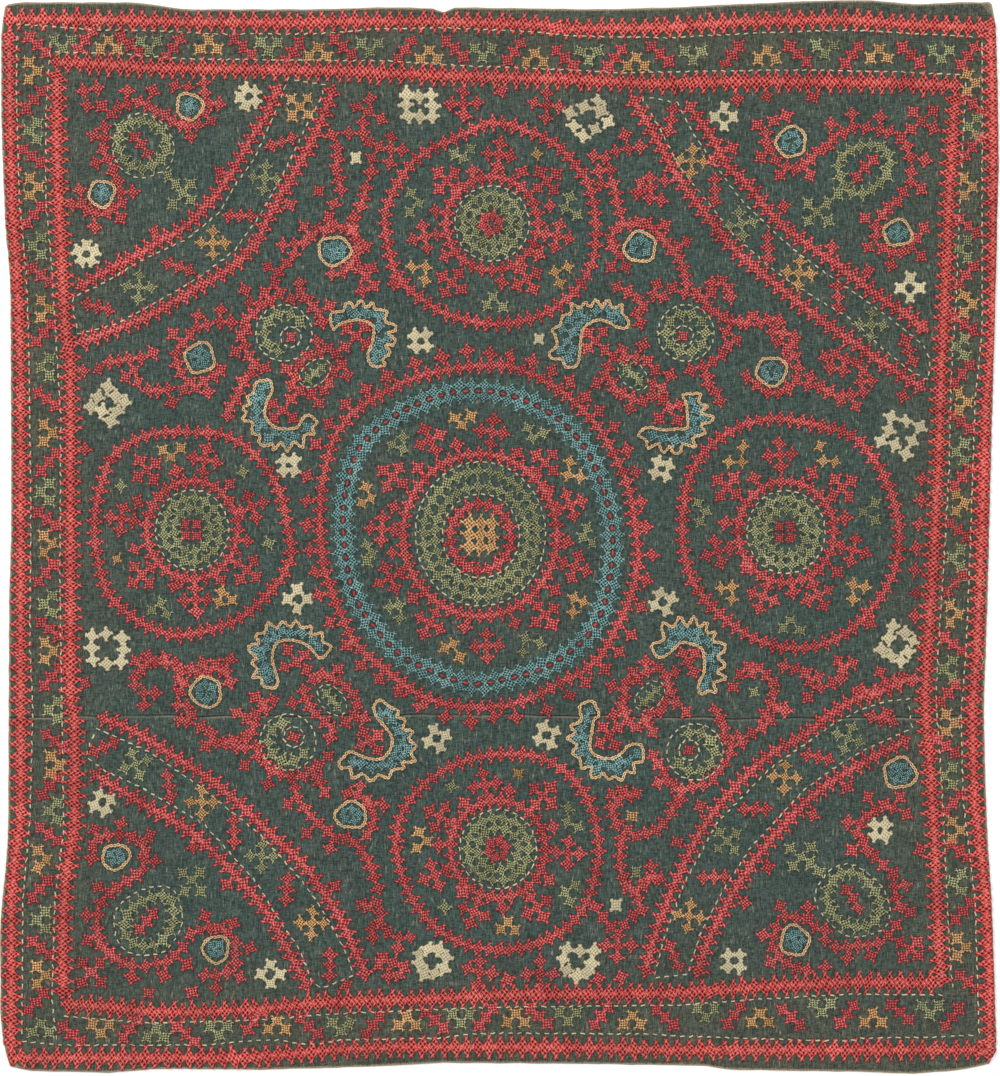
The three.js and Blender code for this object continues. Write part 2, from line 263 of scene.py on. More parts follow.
def ground_material():
    """Faded cotton: browner near the edges, blotched, with pale slubs, a worn rim, painted shade and
    highlight in the weave, and a worn seam whose narrow gap is darkened with a painted shadow.
    """
    material = bpy.data.materials.new("ground_cotton")
    material.use_nodes = True
    tree = material.node_tree
    shader = tree.nodes["Principled BSDF"]
    place = add_node(tree, "ShaderNodeTexCoord").outputs["Object"]
    weave = add_node(tree, "ShaderNodeGroup", node_tree=weave_group())
    tree.links.new(place, weave.inputs["Vector"])
    wear_values = add_node(tree, "ShaderNodeAttribute", attribute_name="wear").outputs["Vector"]
    wear = add_node(tree, "ShaderNodeSeparateXYZ", {0: wear_values})
    cloudy = add_node(tree, "ShaderNodeTexNoise", {
        "Vector": place, "Scale": 9.0, "Detail": 4.0, "Roughness": 0.55}).outputs[0]
    near_edge = add_range(tree, wear.outputs["X"], 130.0, 10.0)
    browned = add_maths(tree, "ADD", near_edge, add_maths(tree, "MULTIPLY", cloudy, 1.3))
    browned = add_range(tree, browned, 0.55, 1.5)
    colour = add_mix(tree, browned, linear("#354640"), linear("#44473a"))
    patchy = add_node(tree, "ShaderNodeTexNoise", {"Vector": place, "Scale": 45.0, "Detail": 5.0}).outputs[0]
    colour = add_mix(tree, add_range(tree, patchy, 0.3, 0.75, 0.0, 0.5), colour, linear("#27332e"))
    # Partly painted shade and highlight: the weave's low parts are darkened and its high points lightened.
    # The streaks add uneven thread colour.
    weave_shade_and_tone = add_range(tree, weave.outputs["Tone"], 0.96, 1.33, 0.42, 1.62)
    shade = add_node(tree, "ShaderNodeCombineColor", {0: weave_shade_and_tone, 1: weave_shade_and_tone, 2: weave_shade_and_tone})
    colour = add_mix(tree, 1.0, colour, shade.outputs[0], "MULTIPLY")
    slub = add_maths(tree, "MULTIPLY", weave.outputs["Slub"], 0.55)
    colour = add_mix(tree, slub, colour, linear("#a0977c"))
    speck = add_node(tree, "ShaderNodeTexNoise", {"Vector": place, "Scale": 900.0, "Detail": 1.0}).outputs[0]
    rim_noise = add_maths(tree, "MULTIPLY", speck, 3.6)
    rim = add_range(tree, add_maths(tree, "SUBTRACT", wear.outputs["X"], rim_noise), 0.9, -1.2)
    colour = add_mix(tree, rim, colour, linear("#9c8a6c"))
    worn_seam = add_range(tree, add_maths(tree, "ADD", wear.outputs["Y"], rim_noise), 4.8, 2.4)
    lower_side = add_range(tree, wear.outputs["Z"], 0.0, 1.0, 0.15, 0.85)
    worn_seam = add_maths(tree, "MULTIPLY", worn_seam, lower_side)
    worn_seam = add_maths(tree, "MULTIPLY", worn_seam, add_range(tree, patchy, 0.42, 0.55, 0.35, 1.0))
    colour = add_mix(tree, worn_seam, colour, linear("#86806c"))
    # Painted shadow: a near-black line along the seam's groove, broken up by the cloudy noise.
    seam_groove_shadow = add_maths(tree, "MULTIPLY", add_range(tree, wear.outputs["Y"], 1.1, 0.4),
                    add_range(tree, cloudy, 0.4, 0.5, 0.45, 1.0))
    colour = add_mix(tree, seam_groove_shadow, colour, linear("#141913"))
    tree.links.new(colour, shader.inputs["Base Color"])
    roughness = add_range(tree, weave.outputs["Height"], 0.7, 1.3, 0.95, 0.82)
    tree.links.new(roughness, shader.inputs["Roughness"])
    bump = add_node(tree, "ShaderNodeBump", {
        "Height": weave.outputs["Height"], "Distance": 0.0005, "Strength": 0.5})
    tree.links.new(bump.outputs[0], shader.inputs["Normal"])
    shader.inputs["Sheen Weight"].default_value = 0.15
    shader.inputs["Sheen Roughness"].default_value = 0.6
    shader.inputs["Specular IOR Level"].default_value = 0.25
    return material


ground = ground_material()
SEAM_GAP = 0.05
UPPER_ROWS, LOWER_ROWS = 60, 30
PANELS = [
    ("upper_panel_cotton", "cloth_upper", lambda a: along_edge(TOP_EDGE, a),
     lambda a: seam_line(a) - SEAM_GAP, UPPER_ROWS, 0),
    ("lower_panel_cotton", "cloth_lower", lambda a: seam_line(a) + SEAM_GAP,
     lambda a: along_edge(BOTTOM_EDGE, a), LOWER_ROWS, 1),
]
for piece_name, node, down_from, down_to, rows, seam_side in PANELS:
    panel = panel_mesh(piece_name, down_from, down_to, rows, seam_side)
    panel.data.materials.append(ground)
    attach(panel, "root")
    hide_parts(node)


# Border bands: two closed bands of interlacing stitch in red cotton, one at the edge and one inside it.
# Each knot is a small woven block of eight threads with forked horns, and neighbouring knots lock together.
# A knot is charted by its middle, its turn, and its reach along and across the band.
HORN_SPREAD = (1.0, 0.35, 0.0, 0.0, 0.35, 1.0)
CORE_REACH = (-4.9, -1.45, 1.45, 4.9)
WEAVE_LIFT = 0.2


def knot_threads(half_wide=4.2, reach=6.9, tip=4.7):
    """The eight threads of a knot, a horn along its turn, as points along, across and up.
    Along and across are in steps, up is in millimetres. Horn threads lie half_wide from the knot's middle
    line, swing out to tip, and end at reach, where two of them make a fork."""
    threads = []
    horn_reach = (-reach, -4.3, -1.4, 1.4, 4.3, reach)
    horn_bow = [half_wide + (tip - half_wide) * share for share in HORN_SPREAD]
    core_bow = [half_wide / 3] * len(CORE_REACH)
    diagonal = math.sqrt(0.5)
    for side in (1, -1):
        for turned in (0, 1):
            for run, bow, first in ((horn_reach, horn_bow, 0), (CORE_REACH, core_bow, 1)):
                lift = [WEAVE_LIFT * (-1) ** (i + first + turned + (side > 0)) for i in range(len(run))]
                if first == 0:
                    lift[0] = lift[-1] = 0.0
                line = [(u, side * v, z) for u, v, z in zip(run, bow, lift)]
                line = [(v, u, z) if turned else (u, v, z) for u, v, z in line]
                threads.append([((u - v) * diagonal, (u + v) * diagonal, z) for u, v, z in line])
    return threads


END_SPREAD = 1.35
# The pad stands for the foundation thread. It lies low, so it renders in the painted shade colour inside the
# knot's holes.
PAD_REACH = 6.6
PAD_RIM, PAD_MIDDLE = -0.12, 0.05
KNOT_THREADS = 8


def prism_threads(threads, wide, thick):
    """Closed three-sided threads along lines: points, faces, and each point's distance along its thread.
    A knot's eight threads are woven over a low pad of foundation thread, which lies low enough to take the
    painted shade colour and so darkens the holes between them."""
    points, corners, counts, distance = [], [], [], []
    if len(threads) == KNOT_THREADS:
        points = [(PAD_REACH, 0, PAD_RIM), (0, PAD_REACH, PAD_RIM), (-PAD_REACH, 0, PAD_RIM),
                  (0, -PAD_REACH, PAD_RIM), (0, 0, PAD_MIDDLE)]
        corners = [0, 3, 2, 1, 0, 1, 4, 1, 2, 4, 2, 3, 4, 3, 0, 4]
        counts = [4, 3, 3, 3, 3]
        distance = [0.0] * 5
    for line in threads:
        line = np.array(line)
        first = len(points)
        step = np.gradient(line[:, :2], axis=0)
        step /= np.linalg.norm(step, axis=1)[:, None]
        run = np.concatenate([[0], np.cumsum(np.linalg.norm(np.diff(line[:, :2], axis=0), axis=1))])
        for index, (place, along) in enumerate(zip(line, step)):
            spread = END_SPREAD if index in (0, len(line) - 1) else 1.0
            side = np.array([-along[1], along[0]]) * wide / 2 * spread
            points.append((*(place[:2] + side), place[2]))
            points.append((*(place[:2] - side), place[2]))
            points.append((*place[:2], place[2] + thick))
            distance += [run[index]] * 3
        for index in range(len(line) - 1):
            a = first + index * 3
            for i, j in ((0, 2), (2, 1), (1, 0)):
                corners += [a + i, a + j, a + 3 + j, a + 3 + i]
                counts.append(4)
        last = first + (len(line) - 1) * 3
        corners += [first, first + 1, first + 2, last + 2, last + 1, last]
        counts += [3, 3]
    return np.array(points), np.array(corners), np.array(counts), np.array(distance)


EDGE_MARGIN = 0.6


def keep_on_cloth(across, down):
    """Stitches that would pass the cloth's edge are pulled back to it."""
    left, right = along_edge(LEFT_EDGE, down) + EDGE_MARGIN, along_edge(RIGHT_EDGE, down) - EDGE_MARGIN
    across = np.clip(across, left, right)
    top, bottom = along_edge(TOP_EDGE, across) + EDGE_MARGIN, along_edge(BOTTOM_EDGE, across) - EDGE_MARGIN
    return across, np.clip(down, top, bottom)


# How far hand-worked knots stray: in turn (radians), in reach and lean (shares), in place (steps) and in
# height (millimetres).
TURN_STRAY = 0.07
REACH_STRAY = 0.05
LEAN_STRAY = 0.06
PLACE_STRAY = 0.35
RISE_STRAY = 0.03


def stitched(name, knots, material, wide=2.1, thick=0.45, base=0.3, threads=None, uneven=1.5):
    """All knots of one colour as one joined mesh on the cotton. Knots are rows of across, down, turn and
    reaches. A thread's width is in steps, its thickness and its base over the cotton are in millimetres."""
    knots = np.array(knots, dtype=float)
    points, corners, counts, distance = prism_threads(threads or knot_threads(), wide, thick)
    count, size = len(knots), len(points)
    turn = knots[:, 2] + rng.normal(0, TURN_STRAY * uneven, count)
    along, across_reach = (knots[:, 3:5] * rng.normal(1, REACH_STRAY * uneven, (count, 2))).T
    lean = rng.normal(0, LEAN_STRAY * uneven, count)
    u = points[:, 0] * along[:, None] + points[:, 1] * lean[:, None]
    v = points[:, 1] * across_reach[:, None]
    cos, sin = np.cos(turn)[:, None], np.sin(turn)[:, None]
    across = knots[:, 0, None] + u * cos - v * sin
    down = knots[:, 1, None] + u * sin + v * cos
    across += PLACE_STRAY * np.sin(down * 0.9 + across * 0.31)
    down += PLACE_STRAY * np.sin(across * 0.8 - down * 0.27)
    across, down = keep_on_cloth(across, down)
    x, y = to_metres(across, down)
    rise = (base + points[:, 2])[None] + rng.normal(0, RISE_STRAY, (count, 1))
    z = cloth_height(x, y) + rise / 1000
    shade = np.repeat(rng.random(count), size)
    offsets = np.arange(count)[:, None] * size
    piece = mesh_object(name, np.stack([x, y, z], -1).reshape(-1, 3), (corners[None] + offsets).ravel(),
                        np.tile(counts, count))
    # The chart counts downwards, so in the cloth's frame the faces come out inside out.
    piece.data.flip_normals()
    add_values(piece, "thread", np.stack([np.tile(distance, count), shade, rise.ravel()], -1))
    piece.data.materials.append(material)
    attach(piece, "root")
    return piece


def thread_group():
    """Twisted cotton thread: painted shade low down between the ridges and a painted highlight on the ridges,
    with the twist as a height.
    """
    group, given, gives = new_group(
        "twisted_thread",
        [("Painted Shade", "NodeSocketColor", (0, 0, 0, 1)), ("Body", "NodeSocketColor", (0, 0, 0, 1)),
         ("Painted Highlight", "NodeSocketColor", (1, 1, 1, 1)), ("Ridge", "NodeSocketFloat", 0.84)],
        [("Color", "NodeSocketColor"), ("Height", "NodeSocketFloat")])
    place = add_node(group, "ShaderNodeTexCoord").outputs["Object"]
    thread_values = add_node(group, "ShaderNodeAttribute", attribute_name="thread").outputs["Vector"]
    values = add_node(group, "ShaderNodeSeparateXYZ", {0: thread_values})
    along, shade, rise = (values.outputs[i] for i in range(3))
    patch = add_node(group, "ShaderNodeTexNoise", {"Vector": place, "Scale": 16.0, "Detail": 3.0}).outputs[0]
    fine = add_node(group, "ShaderNodeTexNoise", {"Vector": place, "Scale": 1500.0, "Detail": 2.0}).outputs[0]
    # Painted shade: the thread's low parts, down in the gaps, take the dark colour.
    painted_shade = add_range(group, rise, 0.33, 0.53, 1.0, 0.0)
    colour = add_mix(group, painted_shade, given.outputs["Body"], given.outputs["Painted Shade"])
    # Painted highlight: the thread's high ridges take the pale colour, broken up by fine noise.
    ridge = add_range(group, rise, 0.68, given.outputs["Ridge"], 0.0, 1.0)
    ridge = add_maths(group, "MULTIPLY", ridge, add_range(group, fine, 0.35, 0.65, 0.3, 1.0))
    colour = add_mix(group, ridge, colour, given.outputs["Painted Highlight"])
    tone = add_maths(group, "ADD", add_range(group, shade, 0.0, 1.0, 0.84, 1.12),
                     add_range(group, patch, 0.3, 0.7, -0.12, 0.12))
    grey = add_node(group, "ShaderNodeCombineColor", {0: tone, 1: tone, 2: tone}).outputs[0]
    colour = add_mix(group, 1.0, colour, grey, "MULTIPLY")
    group.links.new(colour, gives.inputs["Color"])
    twist = add_maths(group, "SINE", add_maths(group, "MULTIPLY", along, 5.5))
    group.links.new(add_maths(group, "ADD", twist, fine), gives.inputs["Height"])
    return group


TWISTED = thread_group()


def thread_material(name, painted_shade, body, painted_highlight, ridge=0.84):
    """One thread colour: its painted shade low in the gaps, its body, and its painted highlight on the ridges
    above the ridge height.
    """
    material = bpy.data.materials.new(name)
    material.use_nodes = True
    tree = material.node_tree
    shader = tree.nodes["Principled BSDF"]
    thread = add_node(tree, "ShaderNodeGroup", node_tree=TWISTED)
    for label, code in (("Painted Shade", painted_shade), ("Body", body), ("Painted Highlight", painted_highlight)):
        thread.inputs[label].default_value = linear(code)
    thread.inputs["Ridge"].default_value = ridge
    tree.links.new(thread.outputs["Color"], shader.inputs["Base Color"])
    bump = add_node(tree, "ShaderNodeBump", {
        "Height": thread.outputs["Height"], "Distance": 0.0001, "Strength": 0.5})
    tree.links.new(bump.outputs[0], shader.inputs["Normal"])
    roughness = add_range(tree, thread.outputs["Height"], -1.0, 2.0, 0.72, 0.55)
    tree.links.new(roughness, shader.inputs["Roughness"])
    shader.inputs["Sheen Weight"].default_value = 0.05
    shader.inputs["Sheen Roughness"].default_value = 0.5
    shader.inputs["Specular IOR Level"].default_value = 0.2
    return material


# Each thread colour is given as its painted shade, its body colour and its painted highlight.
red = thread_material("red_cotton_thread", "#520c0e", "#c04440", "#f29686")
madder = thread_material("madder_cotton_thread", "#40080a", "#aa3839", "#f2948a")
crimson = thread_material("crimson_cotton_thread", "#480b0f", "#ac393c", "#ee867e")


CURVE_STEPS = 24


def walk(line, pitch, closed=False, smooth=True):
    """Even places along a charted line, with the direction at each. A smooth line is a curve through its
    charted points, another one is straight between them."""
    line = np.array(line, dtype=float)
    if closed:
        line = np.concatenate([line, line[:1]])
    if smooth:
        fine = np.linspace(0, len(line) - 1, len(line) * CURVE_STEPS)
        base = np.floor(fine).astype(int).clip(0, len(line) - 2)
        t = (fine - base)[:, None]
        before = line[np.where(base > 0, base - 1, len(line) - 2 if closed else 0)]
        after = line[np.where(base + 2 < len(line), base + 2, 1 if closed else len(line) - 1)]
        start, end = line[base], line[base + 1]
        line = 0.5 * (2 * start + (end - before) * t + (2 * before - 5 * start + 4 * end - after) * t ** 2
                      + (3 * start - before - 3 * end + after) * t ** 3)
    run = np.concatenate([[0], np.cumsum(np.linalg.norm(np.diff(line, axis=0), axis=1))])
    count = max(1, round(run[-1] / pitch))
    marks = (np.arange(count) + (0 if closed else 0.5)) * run[-1] / count
    places = np.stack([np.interp(marks, run, line[:, i]) for i in (0, 1)], -1)
    ahead = np.stack([np.interp(marks + 1, run, line[:, i]) for i in (0, 1)], -1)
    behind = np.stack([np.interp(marks - 1, run, line[:, i]) for i in (0, 1)], -1)
    step = ahead - behind
    return [(a, d, math.atan2(dy, dx)) for (a, d), (dx, dy) in zip(places, step)]


def band(line, pitch, along, beside, closed=False, smooth=True):
    """Knots along a charted line, with their reach along it and beside it."""
    return [(a, d, turn, along, beside) for a, d, turn in walk(line, pitch, closed, smooth)]


OUTER_TOP = [(4, 19), (100, 20), (180, 22), (300, 23), (340, 21.5), (450, 22), (543, 25), (560, 29),
             (660, 28), (740, 22), (790, 20.7), (850, 19.5), (900, 24), (985, 28)]
OUTER_RIGHT = [(990, 20), (993, 120), (993, 330), (986, 400), (981, 550), (977, 650), (972, 715),
               (974.5, 800), (986, 900), (989.5, 970), (989.5, 1058)]
OUTER_BOTTOM = [(984, 1050), (660, 1050), (600, 1048), (510, 1047), (400, 1047), (330, 1050), (250, 1058),
                (6, 1058)]
OUTER_LEFT = [(11, 1048), (11.5, 900), (15, 860), (20.7, 820), (20.7, 370), (18.5, 300), (16, 260),
              (12, 200), (10, 100), (9, 32)]
INNER_TOP = [(52, 62), (100, 64), (150, 68), (340, 71), (450, 76), (560, 79), (660, 84), (720, 81.5),
             (800, 81.5), (900, 83), (960, 86)]
INNER_RIGHT = [(955, 96), (949, 200), (945, 300), (941, 370), (939, 450), (934, 550), (927.5, 650),
               (925, 700), (931, 780), (934, 830), (939, 950), (942, 984)]
INNER_BOTTOM = [(936, 983), (850, 982), (760, 987), (680, 993), (500, 995), (420, 999.5), (330, 1002),
                (260, 1009), (200, 1012), (150, 1012), (100, 1006), (64, 1004)]
INNER_LEFT = [(63, 996), (63, 920), (66.6, 870), (74.6, 830), (74.6, 720), (70.5, 700), (70.5, 350),
              (66, 340), (60, 230), (57, 150), (57, 72)]
# The borders' knots are fuller than the others.
BLOCK = knot_threads(half_wide=4.6, reach=7.0)
BORDER_BANDS = [
    ("outer_border_band", (OUTER_TOP, OUTER_RIGHT, OUTER_BOTTOM, OUTER_LEFT), 11.1, 2.2),
    ("inner_border_band", (INNER_TOP, INNER_RIGHT, INNER_BOTTOM, INNER_LEFT), 10.4, 1.9),
]
for name, sides, pitch, wide in BORDER_BANDS:
    knots = []
    for side in sides:
        knots += band(side, pitch, along=1.0, beside=1.3, smooth=False)
    stitched(name, knots, red, wide=wide, threads=BLOCK)


# Border strip motifs: between the two bands, a row of three-knot sprigs in crimson, gold, crimson and green.
# Crimson ones slant one way and then the other, gold ones are little arches and green ones mostly cups.
olive = thread_material("olive_cotton_thread", "#30352a", "#8a8b60", "#d8d4aa", ridge=0.82)
gold = thread_material("gold_cotton_thread", "#5a3c1c", "#be8c54", "#efd3aa")
# Knots in green and gold are slimmer and more open than the red ones, and worked in thinner thread.
SLIM = knot_threads(half_wide=3.7, reach=6.9, tip=5.0)
OLIVE_WIDE, OLIVE_FINE, GOLD_WIDE = 1.45, 1.35, 1.6


def cluster(across, down, offsets, turn, size):
    """A sprig of knots. The first lies at the middle, and each other points a horn at it."""
    knots = []
    cos, sin = math.cos(turn), math.sin(turn)
    for u, v in offsets:
        lean = math.atan2(v, u) if (u, v) != (0, 0) else math.atan2(offsets[-1][1], offsets[-1][0])
        knots.append((across + u * cos - v * sin, down + u * sin + v * cos, lean + turn, size, size))
    return knots


SPRIG_SHAPES = {
    "slant": [(0, 0), (-8.5, -7.5), (8.5, 7.5)],
    "rise": [(0, 0), (6.5, -8.5), (-6.5, 8.5)],
    "arch": [(0, -4.5), (-8.5, 4), (8.5, 4)],
    "cup": [(0, 5), (-8.5, -3.5), (8.5, -3.5)],
}
SPRIG_SIZE = 0.94


def sprig(across, down, kind, turn):
    """Three knots in one of the four shapes, whose first knot is the one that the others lean on."""
    middle_u, middle_v = SPRIG_SHAPES[kind][0]
    offsets = [(u - middle_u, v - middle_v) for u, v in SPRIG_SHAPES[kind]]
    knots = cluster(across, down, offsets, turn, SPRIG_SIZE)
    shift_u = middle_u * math.cos(turn) - middle_v * math.sin(turn)
    shift_v = middle_u * math.sin(turn) + middle_v * math.cos(turn)
    return [(a + shift_u, d + shift_v, *rest) for a, d, *rest in knots]


STRIP_TOP = [(38, 45), (63, 44), (85, 40), (109, 45), (130, 45), (149, 45), (173, 48), (209, 45),
             (243, 47), (269, 46), (293, 52), (318, 52), (343, 47), (370, 47), (405, 50), (429, 55),
             (455, 49), (483, 52), (514, 52), (535, 58), (565, 58), (589, 55), (615, 58), (636, 62),
             (660, 54), (693, 55), (732, 55), (767, 55), (798, 54), (825, 49), (852, 55), (879, 54),
             (911, 55), (941, 54), (968, 56)]
STRIP_RIGHT = [(971, 83), (973, 104), (973, 127), (972, 147), (968, 187), (968, 226), (964, 249),
               (966, 275), (968, 304), (964, 324), (961, 347), (962, 374), (963, 402), (961, 422),
               (961, 452), (962, 477), (960, 503), (958, 530), (957, 558), (955, 583), (954, 614),
               (953, 644), (949, 669), (948, 693), (950, 723), (946, 746), (949, 776), (953, 803),
               (956, 830), (960, 851), (958, 882), (963, 911), (961, 947), (968, 982)]
STRIP_BOTTOM_LEFT = [(41, 1028), (72, 1034), (101, 1028), (130, 1029), (156, 1033), (186, 1034)]
STRIP_BOTTOM = [(219, 1030), (254, 1021), (277, 1025), (309, 1026), (341, 1026), (373, 1025), (407, 1021),
                (435, 1020), (461, 1018), (486, 1017), (516, 1018), (539, 1016), (568, 1016), (601, 1016),
                (632, 1020), (665, 1017), (706, 1012), (734, 1015), (760, 1018), (791, 1017), (822, 1007),
                (847, 1014), (873, 1018), (900, 1012), (930, 1009), (952, 1017)]
STRIP_LEFT = [(33, 71), (34, 100), (34, 131), (32, 156), (34, 187), (34, 215), (38, 246), (41, 275),
              (45, 309), (44, 333), (46, 367), (47, 399), (48, 433), (49, 462), (46, 492), (47, 519),
              (48, 544), (46, 573), (49, 604), (50, 629), (49, 651), (52, 677), (54, 710), (55, 741),
              (55, 765), (50, 786), (54, 811), (49, 834), (42, 859), (40, 889), (42, 920), (41, 948),
              (41, 975), (36, 1002)]
CRIMSON_SLANT, CRIMSON_RISE = ("crimson", "slant"), ("crimson", "rise")
OLIVE_CUP, GOLD_ARCH = ("olive", "cup"), ("gold", "arch")
STRIPS = [
    (STRIP_TOP, 0.0, (CRIMSON_SLANT, OLIVE_CUP, CRIMSON_RISE, GOLD_ARCH)),
    (STRIP_RIGHT, math.pi / 2, (GOLD_ARCH, CRIMSON_RISE, OLIVE_CUP, CRIMSON_SLANT)),
    (STRIP_BOTTOM_LEFT, 0.0, (("olive", "arch"), CRIMSON_SLANT, ("gold", "cup"), CRIMSON_RISE)),
    (STRIP_BOTTOM, 0.0, (OLIVE_CUP, CRIMSON_RISE, GOLD_ARCH, CRIMSON_SLANT)),
    (STRIP_LEFT, math.pi / 2, (GOLD_ARCH, CRIMSON_SLANT, OLIVE_CUP, CRIMSON_RISE)),
]
strip = {"crimson": [], "olive": [], "gold": []}
for table, turn, sequence in STRIPS:
    for index, (across, down) in enumerate(table):
        colour, kind = sequence[index % 4]
        strip[colour] += sprig(across, down, kind, turn)
stitched("strip_sprigs_crimson", strip["crimson"], crimson)
stitched("strip_sprigs_olive", strip["olive"], olive, wide=OLIVE_WIDE, threads=SLIM)
stitched("strip_sprigs_gold", strip["gold"], gold, wide=GOLD_WIDE, threads=SLIM)


# Corner bands: two bowed red bands cut off each corner, worked in the same knots as the borders. The strip
# between them holds red bars of three knots and crosses of five knots in gold and green.
CORNER_BANDS = [
    [(279, 86), (265, 118), (252, 137), (232, 172), (213, 198), (185, 227), (160, 241), (132, 258),
     (103, 273), (78, 288)],
    [(334, 87), (326, 108), (315, 135), (303, 157), (286, 187), (268, 218), (255, 244), (231, 268),
     (203, 284), (169, 305), (137, 321), (103, 334), (80, 343)],
    [(687, 103), (700, 121), (714, 141), (728, 167), (747, 184), (782, 225), (839, 266), (885, 301),
     (903, 312), (926, 330)],
    [(632, 97), (643, 116), (654, 134), (667, 158), (683, 184), (729, 243), (759, 271), (821, 320),
     (850, 340), (874, 357), (900, 374), (924, 389)],
    [(99, 717), (128, 728), (158, 746), (220, 787), (272, 835), (302, 863), (319, 886), (332, 904),
     (342, 922), (352, 944), (362, 966), (366, 978)],
    [(91, 772), (142, 803), (195, 835), (247, 888), (273, 922), (284, 943), (296, 965), (309, 989)],
    [(912, 677), (884, 690), (862, 697), (846, 704), (831, 714), (804, 735), (763, 760), (710, 817),
     (676, 881), (655, 935), (645, 975)],
    [(908, 739), (857, 766), (809, 799), (759, 854), (731, 897), (708, 941), (697, 975)],
]
corner_knots = []
for line in CORNER_BANDS:
    corner_knots += band(line, pitch=10.7, along=1.02, beside=1.14)
stitched("corner_bands_red", corner_knots, madder)
BARS = [(282, 142, -20), (240, 216, 0), (179, 267, 18), (98, 307, 15), (715, 190, 90), (768, 248, 88),
        (838, 297, 88), (909, 351, 70), (104, 747, -25), (169, 786, 82), (234, 831, 88), (287, 889, 94),
        (330, 965, 92), (882, 719, 12), (818, 757, 12), (755, 809, 0), (714, 877, -3), (674, 956, 66),
        (671, 120, 102)]
GOLD_CROSSES = [(300, 107, 42), (213, 243, 0), (692, 161, 5), (799, 273, 5), (202, 802, 0), (312, 923, 3),
                (785, 777, 4), (689, 916, 8)]
OLIVE_CROSSES = [(265, 178, 5), (139, 287, 3), (741, 224, -10), (871, 325, 2), (136, 764, -20),
                 (262, 856, 2), (848, 738, 20), (727, 841, 50)]
CROSS = [(0, 0), (11.5, 0), (-11.5, 0), (0, 11.5), (0, -11.5)]
BAR = [(0, 0), (-10.5, 0), (10.5, 0)]
BAR_SIZE, CROSS_SIZE = 0.92, 0.86
bars = []
for across, down, lean in BARS:
    bars += cluster(across, down, BAR, math.radians(lean), BAR_SIZE)
stitched("corner_bars_red", bars, madder)
CROSSES = [
    ("corner_crosses_gold", GOLD_CROSSES, gold, "gold_thread", GOLD_WIDE),
    ("corner_crosses_olive", OLIVE_CROSSES, olive, "green_thread", OLIVE_WIDE),
]
for name, table, material, slot, wide in CROSSES:
    crosses = []
    for across, down, lean in table:
        crosses += cluster(across, down, CROSS, math.radians(lean), CROSS_SIZE)
    stitched(name, crosses, material, wide=wide, threads=SLIM)


# Medallions: four rings of red knots, each round a green wheel with a red middle and a ring of red flowers.
# Sprigs in green and gold stand between the flowers and the ring, and a running stitch goes round the wheel.
cream = thread_material("cream_cotton_thread", "#92876a", "#c4b793", "#dad0b0", ridge=0.8)
blue = thread_material("blue_cotton_thread", "#20383a", "#608a88", "#bcd6ce")
DASH = [[(-2.3, 0, -0.1), (-1.2, 0, 0.12), (1.2, 0, 0.12), (2.3, 0, -0.1)]]
FLOWER = [(0, 0), (11.5, 0), (0, 11), (0, -11), (-11.5, 0)]
STAR = [(0, 0)]


def ring(across, down, reach_across, reach_down, pitch=10.4, along=0.92, beside=0.95, start=0.0):
    """Knots locked in a ring, their horns pointing in and out."""
    turns = np.radians(start) + np.linspace(0, 2 * math.pi, 73)[:-1]
    line = [(across + reach_across * math.cos(t), down + reach_down * math.sin(t)) for t in turns]
    return band(line, pitch, along, beside, closed=True)


def outward(middle, places, offsets, size=0.93):
    """The same star or flower set at charted places, each one pointing away from the middle."""
    knots = []
    for across, down in places:
        turn = math.atan2(down - middle[1], across - middle[0])
        knots += cluster(across, down, offsets, turn, size)
    return knots


def circle_line(across, down, reach_across, reach_down=None, pitch=8.6):
    """Running stitches round a circle or an oval."""
    reach_down = reach_down or reach_across
    turns = np.linspace(0, 2 * math.pi, 49)[:-1]
    line = [(across + reach_across * math.cos(t), down + reach_down * math.sin(t)) for t in turns]
    return band(line, pitch, along=1.0, beside=1.0, closed=True)


def locked(places, size=0.92):
    """Free knots, each turned so that a horn points at the nearest other one."""
    places = np.array(places, dtype=float)
    knots = []
    for place in places:
        offsets = places - place
        near = offsets[np.argsort(np.linalg.norm(offsets, axis=1))[1]]
        knots.append((*place, math.atan2(near[1], near[0]), size, size))
    return knots


